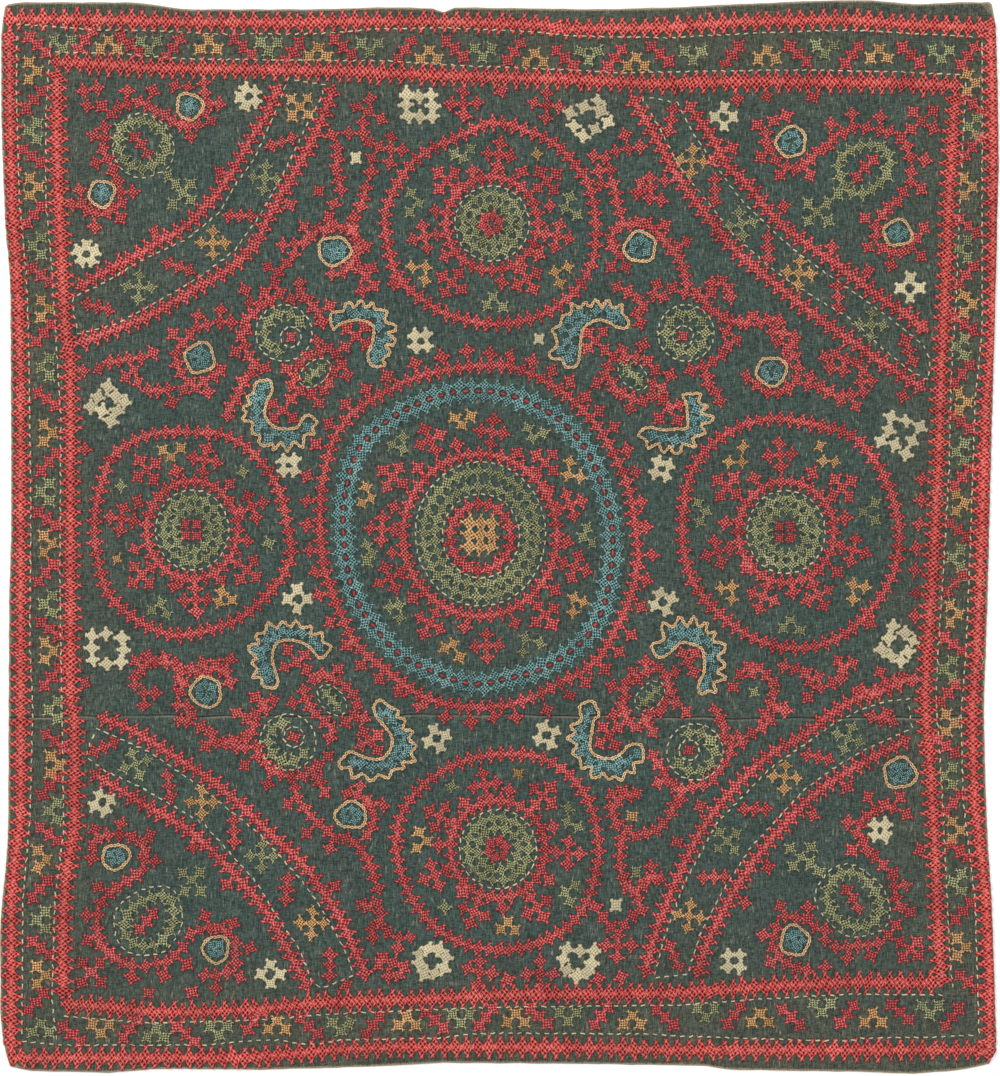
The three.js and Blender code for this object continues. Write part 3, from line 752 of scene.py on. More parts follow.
# Each medallion: its wheel's middle and reach, its red middle's reach and knots, then its outer ring, its
# flowers and its stars.
MEDALLIONS = [
    ((492, 223.5, 36.5, 37, 8.5, 6),
     [(493, 123), (530, 132), (556, 145), (577, 167), (590, 189), (596, 226), (592, 263), (574, 292),
      (543, 314), (500, 324), (455, 317), (424, 301), (398, 276), (388, 245), (386, 211), (402, 176),
      (423, 154), (454, 139)],
     [(499, 155), (547, 181), (557, 236), (527, 279), (452, 283), (425, 237), (447, 181)],
     [(473, 171), (522, 172), (550, 206), (539, 254), (502, 282), (445, 256), (436, 211)]),
    ((192.3, 530, 36, 39.5, 8, 4),
     [(187, 432), (226, 436), (255, 455), (277, 486), (287, 523), (290, 560), (268, 594), (234, 621),
      (184, 635), (160, 631), (137, 620), (109, 594), (97, 555), (95, 517), (102, 483), (115, 454),
      (149, 435)],
     [(205, 460), (252, 507), (247, 570), (196, 600), (142, 575), (122, 519), (147, 470)],
     [(176, 471), (230, 484), (247, 541), (221, 580), (175, 586), (135, 549), (138, 502)]),
    ((786, 532, 38.5, 41, 8, 4),
     [(780, 419), (816, 425), (852, 436), (875, 461), (891, 493), (899, 530), (894, 571), (872, 608),
      (839, 637), (799, 648), (758, 640), (724, 618), (696, 587), (684, 551), (683, 512), (691, 474),
      (711, 445), (746, 424)],
     [(780, 455), (842, 488), (853, 550), (818, 595), (763, 597), (718, 552), (727, 487)],
     [(754, 478), (812, 473), (845, 518), (837, 572), (793, 592), (747, 568), (725, 523)]),
    ((498, 849, 38, 39, 9, 6),
     [(501, 754), (538, 757), (567, 773), (587, 798), (596, 826), (598, 860), (585, 905), (560, 932),
      (520, 948), (479, 948), (442, 932), (414, 902), (399, 865), (397, 832), (409, 801), (435, 776),
      (467, 760)],
     [(485, 785), (543, 796), (568, 853), (537, 907), (474, 912), (435, 875), (440, 817)],
     [(509, 790), (553, 827), (549, 880), (503, 908), (462, 892), (439, 845), (464, 803)]),
]
SPRIGS_OLIVE = [(455, 154), (463, 158), (471, 149), (411, 193), (419, 203), (410, 212), (570, 197),
                (565, 208), (577, 215), (493, 297), (487, 305), (503, 307), (121, 486), (243, 472),
                (269, 543), (152, 610), (161, 603), (167, 614), (698, 503), (706, 512), (700, 522),
                (875, 503), (863, 512), (875, 520), (783, 628), (790, 620), (800, 630), (452, 786),
                (568, 808), (567, 822), (578, 827), (565, 892), (575, 885), (570, 901), (445, 907)]
SPRIGS_GOLD = [(537, 154), (412, 267), (426, 267), (425, 280), (555, 272), (568, 267), (560, 283),
               (163, 450), (171, 457), (181, 448), (117, 559), (222, 592), (219, 602), (232, 600),
               (743, 447), (729, 462), (742, 462), (820, 446), (823, 461), (835, 462), (721, 588),
               (732, 587), (732, 599), (853, 585), (865, 587), (853, 599), (518, 773), (419, 832),
               (427, 841), (417, 848), (501, 929), (508, 922), (515, 930)]
MIDDLE_SIZE = 0.76
WHEEL_UNEVEN = 1.8
DASH_WIDE, DASH_BASE = 1.7, 0.25
rings, flowers, green_rows, middles, dashes = [], [], [], [], []
for hub, outer, petals, stars in MEDALLIONS:
    across, down, wide, tall, core, core_knots = hub
    rings += band(outer, pitch=10.6, along=0.92, beside=0.95, closed=True)
    flowers += ring(across, down, wide + 9.5, tall + 9.5)
    flowers += outward((across, down), petals, FLOWER) + outward((across, down), stars, STAR)
    green_rows += ring(across, down, wide - 7.5, tall - 7.5, pitch=11.0, along=0.9, beside=0.88)
    green_rows += ring(across, down, wide - 18, tall - 18, pitch=10.5, along=0.86, beside=0.86, start=20)
    core_pitch = 2 * math.pi * core / core_knots
    middles += ring(across - 1, down, core, core, core_pitch, along=MIDDLE_SIZE, beside=MIDDLE_SIZE, start=45)
    dashes += circle_line(across, down, wide + 0.5, tall + 0.5)
stitched("medallion_rings", rings, madder)
stitched("medallion_flowers", flowers, madder)
stitched("medallion_wheels_olive", green_rows, olive, wide=OLIVE_FINE, threads=SLIM,
         uneven=WHEEL_UNEVEN)
stitched("medallion_middles", middles, crimson)
stitched("medallion_sprigs_olive", locked(SPRIGS_OLIVE, size=0.86), olive, wide=OLIVE_WIDE,
         threads=SLIM)
stitched("medallion_sprigs_gold", locked(SPRIGS_GOLD, size=0.84), gold, wide=GOLD_WIDE,
         threads=SLIM)
stitched("medallion_running_stitch", dashes, cream, wide=DASH_WIDE, base=DASH_BASE,
         threads=DASH)


# Centre: a gold knot cluster, a red ring, a double green ring between running stitches and a second red ring.
# Then eleven red flowers with red stars and gold and green sprigs between them, and the blue ring with red
# dashes along it. A red ring goes round it all, with a star on about every second knot.
CENTRE = (481, 535)
CENTRE_FLOWERS = [(492, 432), (545, 463), (570, 505), (575, 567), (545, 615), (487, 646), (430, 623),
                  (390, 578), (382, 529), (393, 477), (430, 440)]
CENTRE_STARS = [(457, 445), (518, 453), (548, 490), (567, 542), (555, 590), (515, 623), (465, 627),
                (413, 598), (392, 553), (394, 507), (418, 468)]
centre_red = ring(480.5, 537, 30.5, 33) + ring(480, 535, 77, 81)
centre_red += outward(CENTRE, CENTRE_FLOWERS, FLOWER) + outward(CENTRE, CENTRE_STARS, STAR)
stitched("centre_red", centre_red, madder)
centre_gold = [(480.5 + u * 11, 535 + v * 12, 0.1, 1.05, 1.1) for u in (-1, 0, 1) for v in (-1, 0, 1)]
CENTRE_SPRIGS_GOLD = [(455, 418), (471, 416), (462, 425), (570, 462), (568, 475), (580, 477), (366, 487),
                      (371, 498), (362, 503), (445, 648), (453, 644), (460, 657), (574, 598), (583, 602),
                      (573, 612)]
CENTRE_SPRIGS_OLIVE = [(403, 437), (392, 445), (403, 449), (528, 428), (532, 438), (543, 433), (587, 528),
                       (583, 537), (592, 543), (525, 638), (540, 643), (523, 652), (390, 607), (399, 605),
                       (400, 618), (367, 545), (372, 553), (367, 561)]
centre_gold += locked(CENTRE_SPRIGS_GOLD, size=0.86)
stitched("centre_gold", centre_gold, gold, wide=GOLD_WIDE, threads=SLIM)
centre_olive = ring(481, 535.5, 46, 49, pitch=11.0, along=0.9, beside=0.9)
centre_olive += ring(480.5, 534, 57, 63, pitch=11.3, along=0.9, beside=0.92, start=6)
centre_olive += locked(CENTRE_SPRIGS_OLIVE, size=0.88)
stitched("centre_olive", centre_olive, olive, wide=OLIVE_FINE, threads=SLIM,
         uneven=WHEEL_UNEVEN)
centre_running = circle_line(481, 536, 38.5, 42) + circle_line(480.5, 534, 65, 72)
stitched("centre_running_stitch", centre_running, cream, wide=DASH_WIDE, base=DASH_BASE,
         threads=DASH)
BLUE_RING = [(472, 391), (500, 393), (533, 404), (561, 421), (585, 448), (600, 480), (610, 514),
             (613, 545), (610, 577), (599, 619), (576, 647), (542, 669), (506, 679), (472, 684),
             (436, 673), (402, 656), (375, 628), (354, 594), (346, 557), (343, 519), (348, 479),
             (359, 449), (382, 425), (411, 407), (446, 394)]
OUTER_RING = [(480, 366), (512, 367), (545, 381), (572, 400), (597, 426), (617, 460), (629, 490),
              (635, 525), (638, 557), (632, 592), (617, 627), (595, 662), (562, 682), (525, 700),
              (490, 707), (450, 705), (415, 692), (387, 671), (357, 645), (340, 612), (327, 577),
              (321, 542), (320, 507), (325, 470), (336, 435), (357, 410), (387, 391), (417, 377),
              (452, 369)]
OUTER_STARS = [(307, 476), (307, 501), (307, 525), (310, 550), (315, 572), (319, 595), (330, 622),
               (347, 645), (361, 665), (379, 679), (399, 692), (420, 706), (445, 717), (471, 722),
               (494, 717), (516, 717), (547, 710), (570, 695), (586, 682), (605, 669), (619, 652),
               (631, 635), (641, 607), (646, 580), (652, 555), (646, 527), (641, 502), (636, 472),
               (627, 450), (614, 427), (599, 411), (586, 397), (570, 382), (552, 371), (532, 361),
               (510, 356), (490, 354), (467, 351), (442, 357), (415, 364), (387, 376), (366, 389),
               (346, 404), (329, 424), (316, 444)]
# The blue ring is two rows of knots, each this far beside the charted line.
BLUE_BESIDE = 5.5
blue_rows, red_dashes = [], []
blue_line = walk(BLUE_RING, pitch=12.4, closed=True)
for (a, d, turn), (next_a, next_d, _) in zip(blue_line, blue_line[1:] + blue_line[:1]):
    for side in (-BLUE_BESIDE, BLUE_BESIDE):
        blue_rows.append((a - side * math.sin(turn), d + side * math.cos(turn), turn, 0.94, 0.88))
    red_dashes.append(((a + next_a) / 2, (d + next_d) / 2, math.atan2(next_d - d, next_a - a), 1.1, 1.0))
BLUE_UNEVEN = 2.0
stitched("centre_blue_ring", blue_rows, blue, wide=1.5, uneven=BLUE_UNEVEN)
stitched("centre_blue_ring_dashes", red_dashes, crimson, wide=3.0, thick=0.32, threads=DASH)
outer_ring = band(OUTER_RING, pitch=10.6, along=0.92, beside=0.95, closed=True)
outer_ring += outward((479, 537), OUTER_STARS, STAR)
stitched("centre_outer_ring", outer_ring, madder)


# Running stitch: cream cotton dashes along the border strip, and as closed outlines inside the corner strips.
# The thread dives between dashes, so each one lies in a shallow arch.
STRIP_LINES = [
    [(14, 24), (96, 30), (161, 31), (211, 34), (317, 34), (380, 29), (450, 28), (537, 32), (571, 36),
     (667, 38), (760, 33), (850, 30), (975, 37)],
    [(53, 52), (124, 54), (184, 59), (275, 60), (390, 61), (445, 65), (546, 69), (622, 73), (720, 71),
     (800, 70), (900, 72), (962, 75)],
    [(982, 40), (982, 200), (982, 330), (975, 400), (970, 550), (966, 650), (961, 715), (963, 800),
     (975, 900), (979, 1035)],
    [(966, 80), (960, 200), (956, 300), (951, 380), (949, 470), (944, 560), (938, 650), (936, 700),
     (942, 790), (950, 960), (953, 990)],
    [(975, 1035), (935, 1037), (860, 1038), (850, 1041), (800, 1040), (740, 1038), (680, 1036),
     (650, 1034), (500, 1033), (470, 1034), (440, 1038), (340, 1040), (318, 1044), (300, 1044),
     (280, 1040), (260, 1040), (235, 1042), (205, 1045), (60, 1045), (20, 1041)],
    [(945, 995), (850, 994), (760, 999), (680, 1005), (500, 1007), (420, 1010), (330, 1014), (260, 1020),
     (150, 1023), (62, 1016)],
    [(17, 34), (16.5, 92), (19.5, 202), (26.5, 275), (29, 350), (31, 511), (30, 648), (33, 708),
     (30, 820), (23, 900), (22, 1036)],
    [(50.5, 40), (46, 115), (46, 200), (51.6, 264), (56, 337), (61, 419), (60, 580), (62, 708), (64, 830),
     (55, 900), (52, 1000), (57, 1042)],
]
CORNER_STRIPS = [
    [(288, 79), (279, 104), (255, 158), (237, 182), (220, 212), (186, 240), (146, 258), (97, 287),
     (73, 297), (74, 316), (79, 334), (117, 324), (166, 297), (203, 275), (235, 250), (258, 218),
     (283, 175), (306, 127), (321, 98), (325, 85)],
    [(678, 104), (694, 135), (716, 166), (740, 199), (775, 233), (800, 255), (859, 296), (896, 323),
     (923, 345), (930, 360), (928, 380), (912, 372), (879, 346), (854, 321), (820, 301), (792, 283),
     (768, 266), (734, 235), (706, 200), (678, 165), (660, 129), (643, 99), (654, 98)],
    [(98, 729), (150, 752), (202, 788), (262, 836), (297, 875), (312, 894), (326, 916), (340, 941),
     (351, 964), (352, 976), (322, 988), (312, 982), (300, 950), (274, 912), (258, 884), (204, 824),
     (144, 789), (104, 770), (86, 757), (91, 740)],
    [(908, 699), (886, 701), (857, 711), (832, 725), (768, 770), (716, 824), (684, 884), (664, 938),
     (654, 978), (688, 974), (700, 934), (722, 892), (750, 848), (804, 790), (838, 765), (866, 749),
     (891, 738), (912, 728)],
]
DASH_PITCH = 9.0
running = []
for line in STRIP_LINES:
    running += band(line, DASH_PITCH, along=1.0, beside=1.0, smooth=False)
for line in CORNER_STRIPS:
    running += band(line, DASH_PITCH, along=1.0, beside=1.0, closed=True, smooth=False)
# Two ends of the same thread lie loose by the right edge.
LOOSE_ENDS = [
    [(957, 612), (950, 601), (948, 590), (955, 583), (968, 580), (981, 581), (986, 587)],
    [(974, 640), (980, 652), (983, 663), (978, 671), (973, 667)],
]
for line in LOOSE_ENDS:
    running += band(line, pitch=4.4, along=0.95, beside=0.5)
stitched("strip_running_stitch", running, cream, wide=1.65, base=DASH_BASE, threads=DASH)


# Crescents: eight scalloped arches of blue knots, each edged all round with chain stitch in gold cotton.
# A chain stitch is a row of small thread loops, each one drawn up through the one before it.
CRESCENTS = [
    [(334, 329), (331, 322), (332, 313), (343, 311), (346, 304), (351, 303), (354, 307.5), (361, 301),
     (367, 307.5), (372.5, 302.5), (375, 309), (382, 310), (387, 312), (385, 319), (387.5, 323),
     (395, 325), (395, 331), (388, 333), (395, 340), (392.5, 345), (386, 345), (390, 353), (383, 359),
     (385, 365), (375, 366.7), (370, 363), (368, 355), (372.5, 342), (374, 330), (371, 324), (360, 320),
     (350, 321), (340, 324)],
    [(266.7, 380), (256.7, 382.5), (253, 393), (247.5, 397.5), (250, 404), (243, 407.5), (246, 413),
     (243, 420), (252, 422.5), (252.5, 433), (260, 436), (259, 442.5), (265, 446), (272.5, 444),
     (274, 450), (281, 443), (287.5, 451), (294, 442.5), (302.5, 447), (305, 435), (314, 434),
     (312.5, 428), (317, 422), (308, 415), (302, 420), (297, 427.5), (283, 429), (273, 426), (265, 415),
     (267.5, 400), (272, 392), (271, 382)],
    [(627, 327.5), (618, 327.5), (610, 323), (600, 320), (592, 322), (584, 328), (581, 338), (580, 350),
     (577, 365), (566, 367), (562, 360), (551, 358), (550, 352), (557, 346), (555, 335), (552, 330),
     (560, 325), (563, 316), (571, 313), (572, 304), (580, 308), (585, 302.5), (590, 307), (596, 300),
     (602, 307), (607.5, 300), (613, 308), (622, 305), (622, 313), (628, 320)],
    [(683, 395), (693, 394), (700, 394), (699, 403), (707, 406), (701, 413), (713, 417), (710, 422),
     (701, 425), (705, 433), (693, 438), (695, 447), (683, 444), (680, 452.5), (673, 452.5), (671, 446),
     (663, 452.5), (658, 444), (648, 448), (646, 440), (639, 436), (642, 430), (650, 427.5), (663, 430),
     (677, 429), (687, 428), (687.5, 417), (686, 403)],
    [(275, 687.5), (267.5, 687.5), (262.5, 685), (261, 678), (252.5, 677), (257.5, 670), (252, 662.5),
     (256, 658), (249, 650), (251, 645), (259, 643), (256, 635), (265, 632), (268, 623), (276.7, 627.5),
     (283, 621.7), (290, 626.7), (296.7, 621), (301.7, 627.5), (311.7, 626.7), (311, 635), (321.7, 633),
     (323, 641.7), (331, 646.7), (323, 657.5), (317.5, 656), (310, 647.5), (301.7, 642.5), (290, 640),
     (279, 641.7), (274, 648), (272.5, 660), (276, 673), (278, 681.7)],
    [(380, 700), (374, 706.7), (376.7, 716.7), (385, 726.7), (391.7, 736.7), (391, 748), (383, 758),
     (371.7, 759), (361.7, 756), (350, 751.7), (344, 756.7), (339, 763), (341.7, 768), (350, 768),
     (353, 778), (363, 774), (371, 781), (379, 775), (388, 778), (393, 770), (404, 768), (402.5, 762.5),
     (415, 761), (411, 753), (416, 746), (409, 739), (412.5, 731), (403, 729), (405, 720), (396.7, 716.7),
     (399, 711.7), (390, 706.7)],
    [(660, 657.5), (655, 654), (651.7, 645), (660, 641.7), (664, 638), (661.7, 628), (664, 623),
     (673, 626.7), (680, 617), (686.7, 626), (694, 617), (699, 626.7), (706.7, 622.5), (706.7, 632.5),
     (715, 632.5), (713, 641), (724, 644), (724, 651), (717.5, 656.7), (725, 665), (717.5, 671.7),
     (726, 678), (714, 683), (716, 691.7), (708, 691), (703, 694), (699, 691.7), (699, 683), (704, 671.7),
     (704, 656.7), (701, 648), (691.7, 644), (681.7, 642.5), (675, 647.5), (668, 654)],
    [(591.7, 701), (580, 706), (581, 720), (571, 726), (575, 733), (567.5, 738), (576.7, 745),
     (572.5, 753), (580, 759), (581.7, 768), (591, 766.7), (591, 776.7), (599, 776.7), (603, 773),
     (608, 779), (615, 776.7), (621.7, 780), (626, 771.7), (634, 772.5), (634, 763), (642.5, 761),
     (642.5, 748), (637.5, 744), (628, 746), (621.7, 753), (613, 758), (603, 758), (594, 754),
     (590, 746.7), (591.7, 733), (594, 720), (599, 715), (596, 706.7)],
]
LINK = [[(-2.1, side * 0.25, -0.05), (-0.1, side * 1.1, 0.3), (1.9, side * 0.3, 0.15)] for side in (1, -1)]
CHAIN_PITCH = 3.6
# This many places are tried when an outline is filled with knots.
TRIES = 4000


def filled(line, spacing, margin):
    """Places spread evenly inside a closed charted line, at least a margin from it."""
    line = np.array(line, dtype=float)
    after = np.roll(line, -1, axis=0)
    tries = rng.uniform(line.min(0), line.max(0), (TRIES, 2))
    kept = []
    for place in tries:
        crossing = (line[:, 1] > place[1]) != (after[:, 1] > place[1])
        wide, tall = after[:, 0] - line[:, 0], after[:, 1] - line[:, 1] + 1e-9
        where = wide * (place[1] - line[:, 1]) / tall + line[:, 0]
        if np.count_nonzero(crossing & (place[0] < where)) % 2 == 0:
            continue
        step = after - line
        share = np.clip(np.sum((place - line) * step, 1) / np.sum(step * step, 1), 0, 1)[:, None]
        if np.linalg.norm(line + step * share - place, axis=1).min() < margin:
            continue
        if all(math.dist(place, other) > spacing for other in kept):
            kept.append(tuple(place))
    return kept


crescent_blue, crescent_gold = [], []
for line in CRESCENTS:
    crescent_blue += locked(filled(line, spacing=8.0, margin=4.6), size=0.82)
    crescent_gold += band(line, CHAIN_PITCH, along=1.0, beside=1.0, closed=True)
BLUE_WIDE = 1.6
CHAIN_WIDE, CHAIN_BASE = 1.4, 0.35
stitched("crescents_blue", crescent_blue, blue, wide=BLUE_WIDE, uneven=BLUE_UNEVEN)
stitched("crescents_gold_chain", crescent_gold, gold, wide=CHAIN_WIDE, base=CHAIN_BASE,
         threads=LINK)


# Discs: small round eyes of blue knots edged with gold chain stitch. Some have an open middle.
# Each is charted by its middle, its reach across and down, and whether it has a knot in the middle.
DISCS = [(334.5, 251, 16, 14, 1), (200, 358, 14.5, 15, 1), (640, 247, 15.5, 15, 0),
         (771.5, 371.5, 15, 14, 0), (206, 692, 15, 15, 0), (351, 815, 15.5, 13, 0),
         (189.7, 106.5, 12.8, 13, 1), (102, 193.7, 12.6, 13, 1), (791, 142, 14.5, 15, 0),
         (897.8, 233, 14, 12.8, 1), (116, 856.7, 13.5, 12.3, 0), (216, 949, 12.8, 13.2, 1),
         (900, 772.8, 16, 15, 1), (794.7, 940.5, 14, 15, 1)]
# The chain stitch strays this far from a true round.
WOBBLE = 1.1
disc_blue, disc_gold = [], []
for across, down, wide, tall, middle in DISCS:
    disc_blue += ring(across, down, wide - 7, tall - 7, pitch=9.0, along=0.68, beside=0.66, start=across)
    if middle:
        disc_blue += [(across, down, 0.4, 0.62, 0.62)]
    outline = [(a + WOBBLE * math.sin(0.3 * d + across), d + WOBBLE * math.sin(0.27 * a + down))
               for a, d, *_ in circle_line(across, down, wide, tall, pitch=5)]
    disc_gold += band(outline, CHAIN_PITCH, along=1.0, beside=1.0, closed=True)
stitched("discs_blue", disc_blue, blue, wide=BLUE_WIDE, uneven=BLUE_UNEVEN)
stitched("discs_gold_chain", disc_gold, gold, wide=CHAIN_WIDE, base=CHAIN_BASE, threads=LINK)


# Slanting groups: between the medallions, red knots lock in paths round each green wheel, oval and disc.
# The knots are charted one by one. A cream running stitch goes round each wheel and oval.
RED_UPPER_LEFT = [(304, 227), (311, 236), (318, 229), (341, 190), (334, 204), (329, 217), (326, 230),
                  (335, 226), (344, 228), (352, 231), (357, 240), (357, 250), (355, 259), (350, 266),
                  (343, 272), (332, 274), (366, 246), (361, 206), (354, 218), (372, 268), (361, 270),
                  (366, 277), (374, 286), (362, 290), (283, 245), (295, 244), (304, 243), (294, 254),
                  (287, 263), (278, 272), (268, 267), (275, 284), (280, 293), (300, 283), (292, 299),
                  (301, 293), (270, 301), (265, 293), (245, 290), (250, 303), (260, 305), (307, 299),
                  (313, 307), (319, 313), (330, 306), (322, 322), (253, 314), (246, 320), (246, 330),
                  (241, 336), (245, 346), (236, 352), (249, 356), (254, 364), (251, 374), (265, 368),
                  (243, 382), (239, 391), (236, 400), (230, 407), (228, 416), (317, 341), (327, 348),
                  (320, 352), (308, 356), (300, 364), (287, 369), (336, 353), (345, 347), (342, 365),
                  (334, 371), (347, 375), (329, 383), (324, 390), (312, 394), (319, 403), (300, 391),
                  (292, 385), (295, 377), (347, 329), (365, 327), (366, 344), (356, 336), (273, 404),
                  (291, 399), (283, 410), (274, 418), (293, 418), (198, 316), (198, 327), (207, 325),
                  (221, 310), (220, 322), (231, 322), (173, 334), (190, 335), (183, 343), (177, 353),
                  (177, 364), (181, 373), (190, 382), (204, 381), (214, 376), (221, 370), (208, 392),
                  (184, 390), (196, 388), (168, 389), (158, 391), (172, 402), (153, 353), (141, 358),
                  (129, 359), (134, 370), (138, 382), (149, 390), (119, 361), (110, 362), (99, 369),
                  (349, 133), (363, 133), (369, 142), (372, 158), (371, 172), (366, 188), (364, 197),
                  (353, 230), (370, 99), (357, 107), (368, 112), (381, 119), (363, 123), (391, 149),
                  (391, 137), (402, 150), (390, 163), (379, 147), (332, 135), (337, 147), (338, 158),
                  (336, 168), (339, 180), (463, 104), (451, 104), (477, 103), (463, 92), (464, 115),
                  (501, 91), (547, 105), (534, 103), (559, 107), (547, 93), (546, 118), (84, 371),
                  (85, 449), (394, 283), (319, 191), (126, 377), (230, 176), (290, 205)]
RED_UPPER_RIGHT = [(625, 135), (640, 147), (628, 149), (616, 151), (594, 156), (605, 158), (610, 170),
                   (613, 184), (617, 202), (599, 171), (601, 184), (616, 193), (620, 212), (651, 188),
                   (650, 178), (638, 192), (661, 200), (665, 181), (615, 230), (622, 224), (630, 225),
                   (638, 222), (647, 224), (654, 230), (665, 225), (661, 237), (667, 243), (672, 251),
                   (678, 247), (686, 242), (679, 259), (683, 268), (685, 276), (613, 247), (611, 238),
                   (620, 255), (611, 267), (626, 267), (617, 287), (628, 292), (638, 299), (643, 306),
                   (637, 314), (640, 323), (657, 285), (654, 295), (663, 297), (673, 288), (687, 284),
                   (685, 293), (697, 293), (703, 299), (712, 283), (711, 293), (722, 281), (728, 288),
                   (730, 297), (707, 306), (715, 312), (723, 317), (731, 322), (726, 332), (736, 340),
                   (728, 345), (722, 355), (713, 361), (703, 367), (691, 370), (707, 376), (708, 384),
                   (716, 392), (720, 401), (740, 322), (747, 323), (753, 316), (760, 323), (768, 320),
                   (779, 321), (773, 332), (783, 333), (778, 342), (794, 336), (793, 344), (787, 349),
                   (795, 356), (787, 360), (747, 377), (757, 385), (768, 392), (778, 393), (788, 388),
                   (796, 380), (798, 368), (810, 377), (808, 385), (821, 387), (829, 392), (840, 400),
                   (643, 345), (622, 350), (605, 350), (613, 357), (625, 358), (636, 358), (648, 361),
                   (608, 367), (605, 376), (597, 383), (612, 382), (615, 390), (623, 394), (632, 398),
                   (630, 408), (643, 401), (653, 396), (663, 400), (653, 384), (662, 389), (655, 370),
                   (670, 375), (588, 333), (603, 332), (595, 341), (588, 348), (670, 408), (679, 405),
                   (659, 418), (678, 420), (825, 357), (836, 354), (845, 360), (831, 368), (843, 370),
                   (857, 363), (863, 371), (861, 382), (871, 381), (863, 392), (851, 395), (841, 396),
                   (856, 406), (921, 327), (903, 396), (650, 198), (641, 183)]
RED_LOWER_LEFT = [(136, 661), (142, 669), (148, 656), (147, 664), (156, 662), (165, 657), (166, 663),
                  (175, 663), (180, 671), (179, 680), (191, 669), (198, 672), (203, 663), (208, 671),
                  (215, 665), (221, 671), (230, 660), (226, 671), (230, 682), (180, 692), (184, 683),
                  (178, 705), (187, 706), (192, 715), (180, 720), (187, 721), (201, 727), (211, 733),
                  (206, 746), (214, 741), (225, 743), (232, 740), (237, 747), (135, 677), (135, 685),
                  (144, 693), (155, 693), (144, 705), (255, 697), (263, 703), (273, 700), (265, 709),
                  (256, 714), (237, 713), (247, 718), (254, 724), (252, 732), (245, 737), (245, 747),
                  (257, 747), (258, 756), (245, 765), (266, 763), (272, 771), (281, 774), (291, 776),
                  (268, 784), (302, 776), (310, 771), (318, 766), (328, 756), (317, 777), (320, 783),
                  (325, 792), (295, 788), (297, 797), (288, 804), (305, 808), (311, 816), (318, 823),
                  (307, 833), (328, 831), (335, 838), (330, 848), (346, 838), (355, 843), (367, 835),
                  (372, 826), (374, 816), (370, 805), (383, 805), (348, 793), (358, 795), (367, 800),
                  (360, 786), (361, 850), (367, 858), (371, 867), (374, 877), (378, 888), (288, 650),
                  (305, 655), (297, 662), (285, 667), (307, 670), (313, 680), (321, 675), (330, 677),
                  (338, 669), (337, 681), (346, 687), (353, 694), (304, 690), (306, 699), (293, 703),
                  (310, 707), (316, 714), (325, 722), (332, 728), (330, 737), (346, 722), (354, 716),
                  (357, 705), (364, 718), (363, 732), (378, 735), (361, 745), (378, 750), (370, 741),
                  (376, 903), (368, 907), (381, 913), (372, 928), (380, 922), (388, 932), (399, 938),
                  (410, 937), (398, 948), (383, 958), (393, 963), (404, 967), (399, 975), (388, 976),
                  (379, 964), (468, 968), (480, 961), (480, 972), (492, 973), (478, 984), (362, 904),
                  (373, 937), (335, 886), (346, 985)]
RED_LOWER_RIGHT = [(646, 662), (633, 672), (647, 671), (658, 668), (638, 679), (627, 681), (612, 686),
                   (624, 689), (625, 697), (621, 705), (625, 713), (614, 715), (603, 727), (618, 727),
                   (600, 743), (615, 745), (609, 735), (628, 721), (636, 727), (645, 720), (650, 713),
                   (660, 711), (653, 732), (648, 725), (653, 755), (658, 764), (664, 771), (666, 780),
                   (658, 783), (674, 786), (681, 790), (681, 798), (692, 787), (703, 785), (713, 779),
                   (719, 771), (725, 763), (730, 753), (731, 744), (724, 736), (724, 727), (720, 718),
                   (715, 710), (733, 687), (683, 653), (695, 653), (688, 662), (675, 672), (694, 672),
                   (666, 676), (668, 684), (671, 692), (666, 702), (676, 703), (686, 712), (748, 667),
                   (740, 674), (752, 673), (758, 668), (766, 675), (773, 682), (773, 693), (771, 704),
                   (785, 710), (777, 708), (765, 715), (770, 720), (762, 727), (752, 733), (742, 743),
                   (739, 737), (784, 666), (795, 669), (806, 673), (810, 681), (818, 677), (820, 687),
                   (832, 683), (808, 697), (841, 678), (843, 668), (838, 661), (852, 663), (85, 683),
                   (922, 479), (921, 500), (919, 524), (916, 548), (915, 570), (916, 593), (915, 616),
                   (880, 672), (886, 682), (900, 680), (914, 680), (873, 692), (860, 690), (612, 794),
                   (618, 801), (623, 791), (636, 793), (629, 796), (611, 807), (613, 815), (617, 824),
                   (628, 830), (622, 838), (636, 836), (646, 833), (656, 830), (663, 823), (671, 813),
                   (674, 805), (621, 846), (620, 856), (620, 866), (623, 876), (627, 887), (635, 891),
                   (643, 886), (648, 878), (654, 877), (651, 866), (660, 878), (700, 806), (677, 842),
                   (638, 900), (642, 909), (633, 916), (624, 925), (611, 927), (603, 917), (596, 907),
                   (618, 936), (606, 945), (631, 945), (617, 957), (540, 973), (527, 974), (540, 961),
                   (553, 974), (541, 986), (598, 979), (621, 977), (508, 979), (618, 946), (870, 623),
                   (886, 714)]
RED_GROUPS = [
    ("upper_left_red", RED_UPPER_LEFT),
    ("upper_right_red", RED_UPPER_RIGHT),
    ("lower_left_red", RED_LOWER_LEFT),
    ("lower_right_red", RED_LOWER_RIGHT),
]
for name, places in RED_GROUPS:
    stitched(name, locked(places), madder)
# A wheel is charted by its middle and by its star's, an oval by its middle and its lean in degrees.
WHEELS = [(284, 333, 291, 337), (686, 333, 683, 336), (288, 742, 294, 737), (695, 752, 689, 750)]
OVALS = [(315, 373, -40), (633, 375, 45), (332, 700, 50), (650, 696, -45)]
SMALL_GREEN = [(636, 872), (754, 692)]
WHEEL_REACH = 19.5
OVAL_REACH = (-8.5, 0, 8.5)
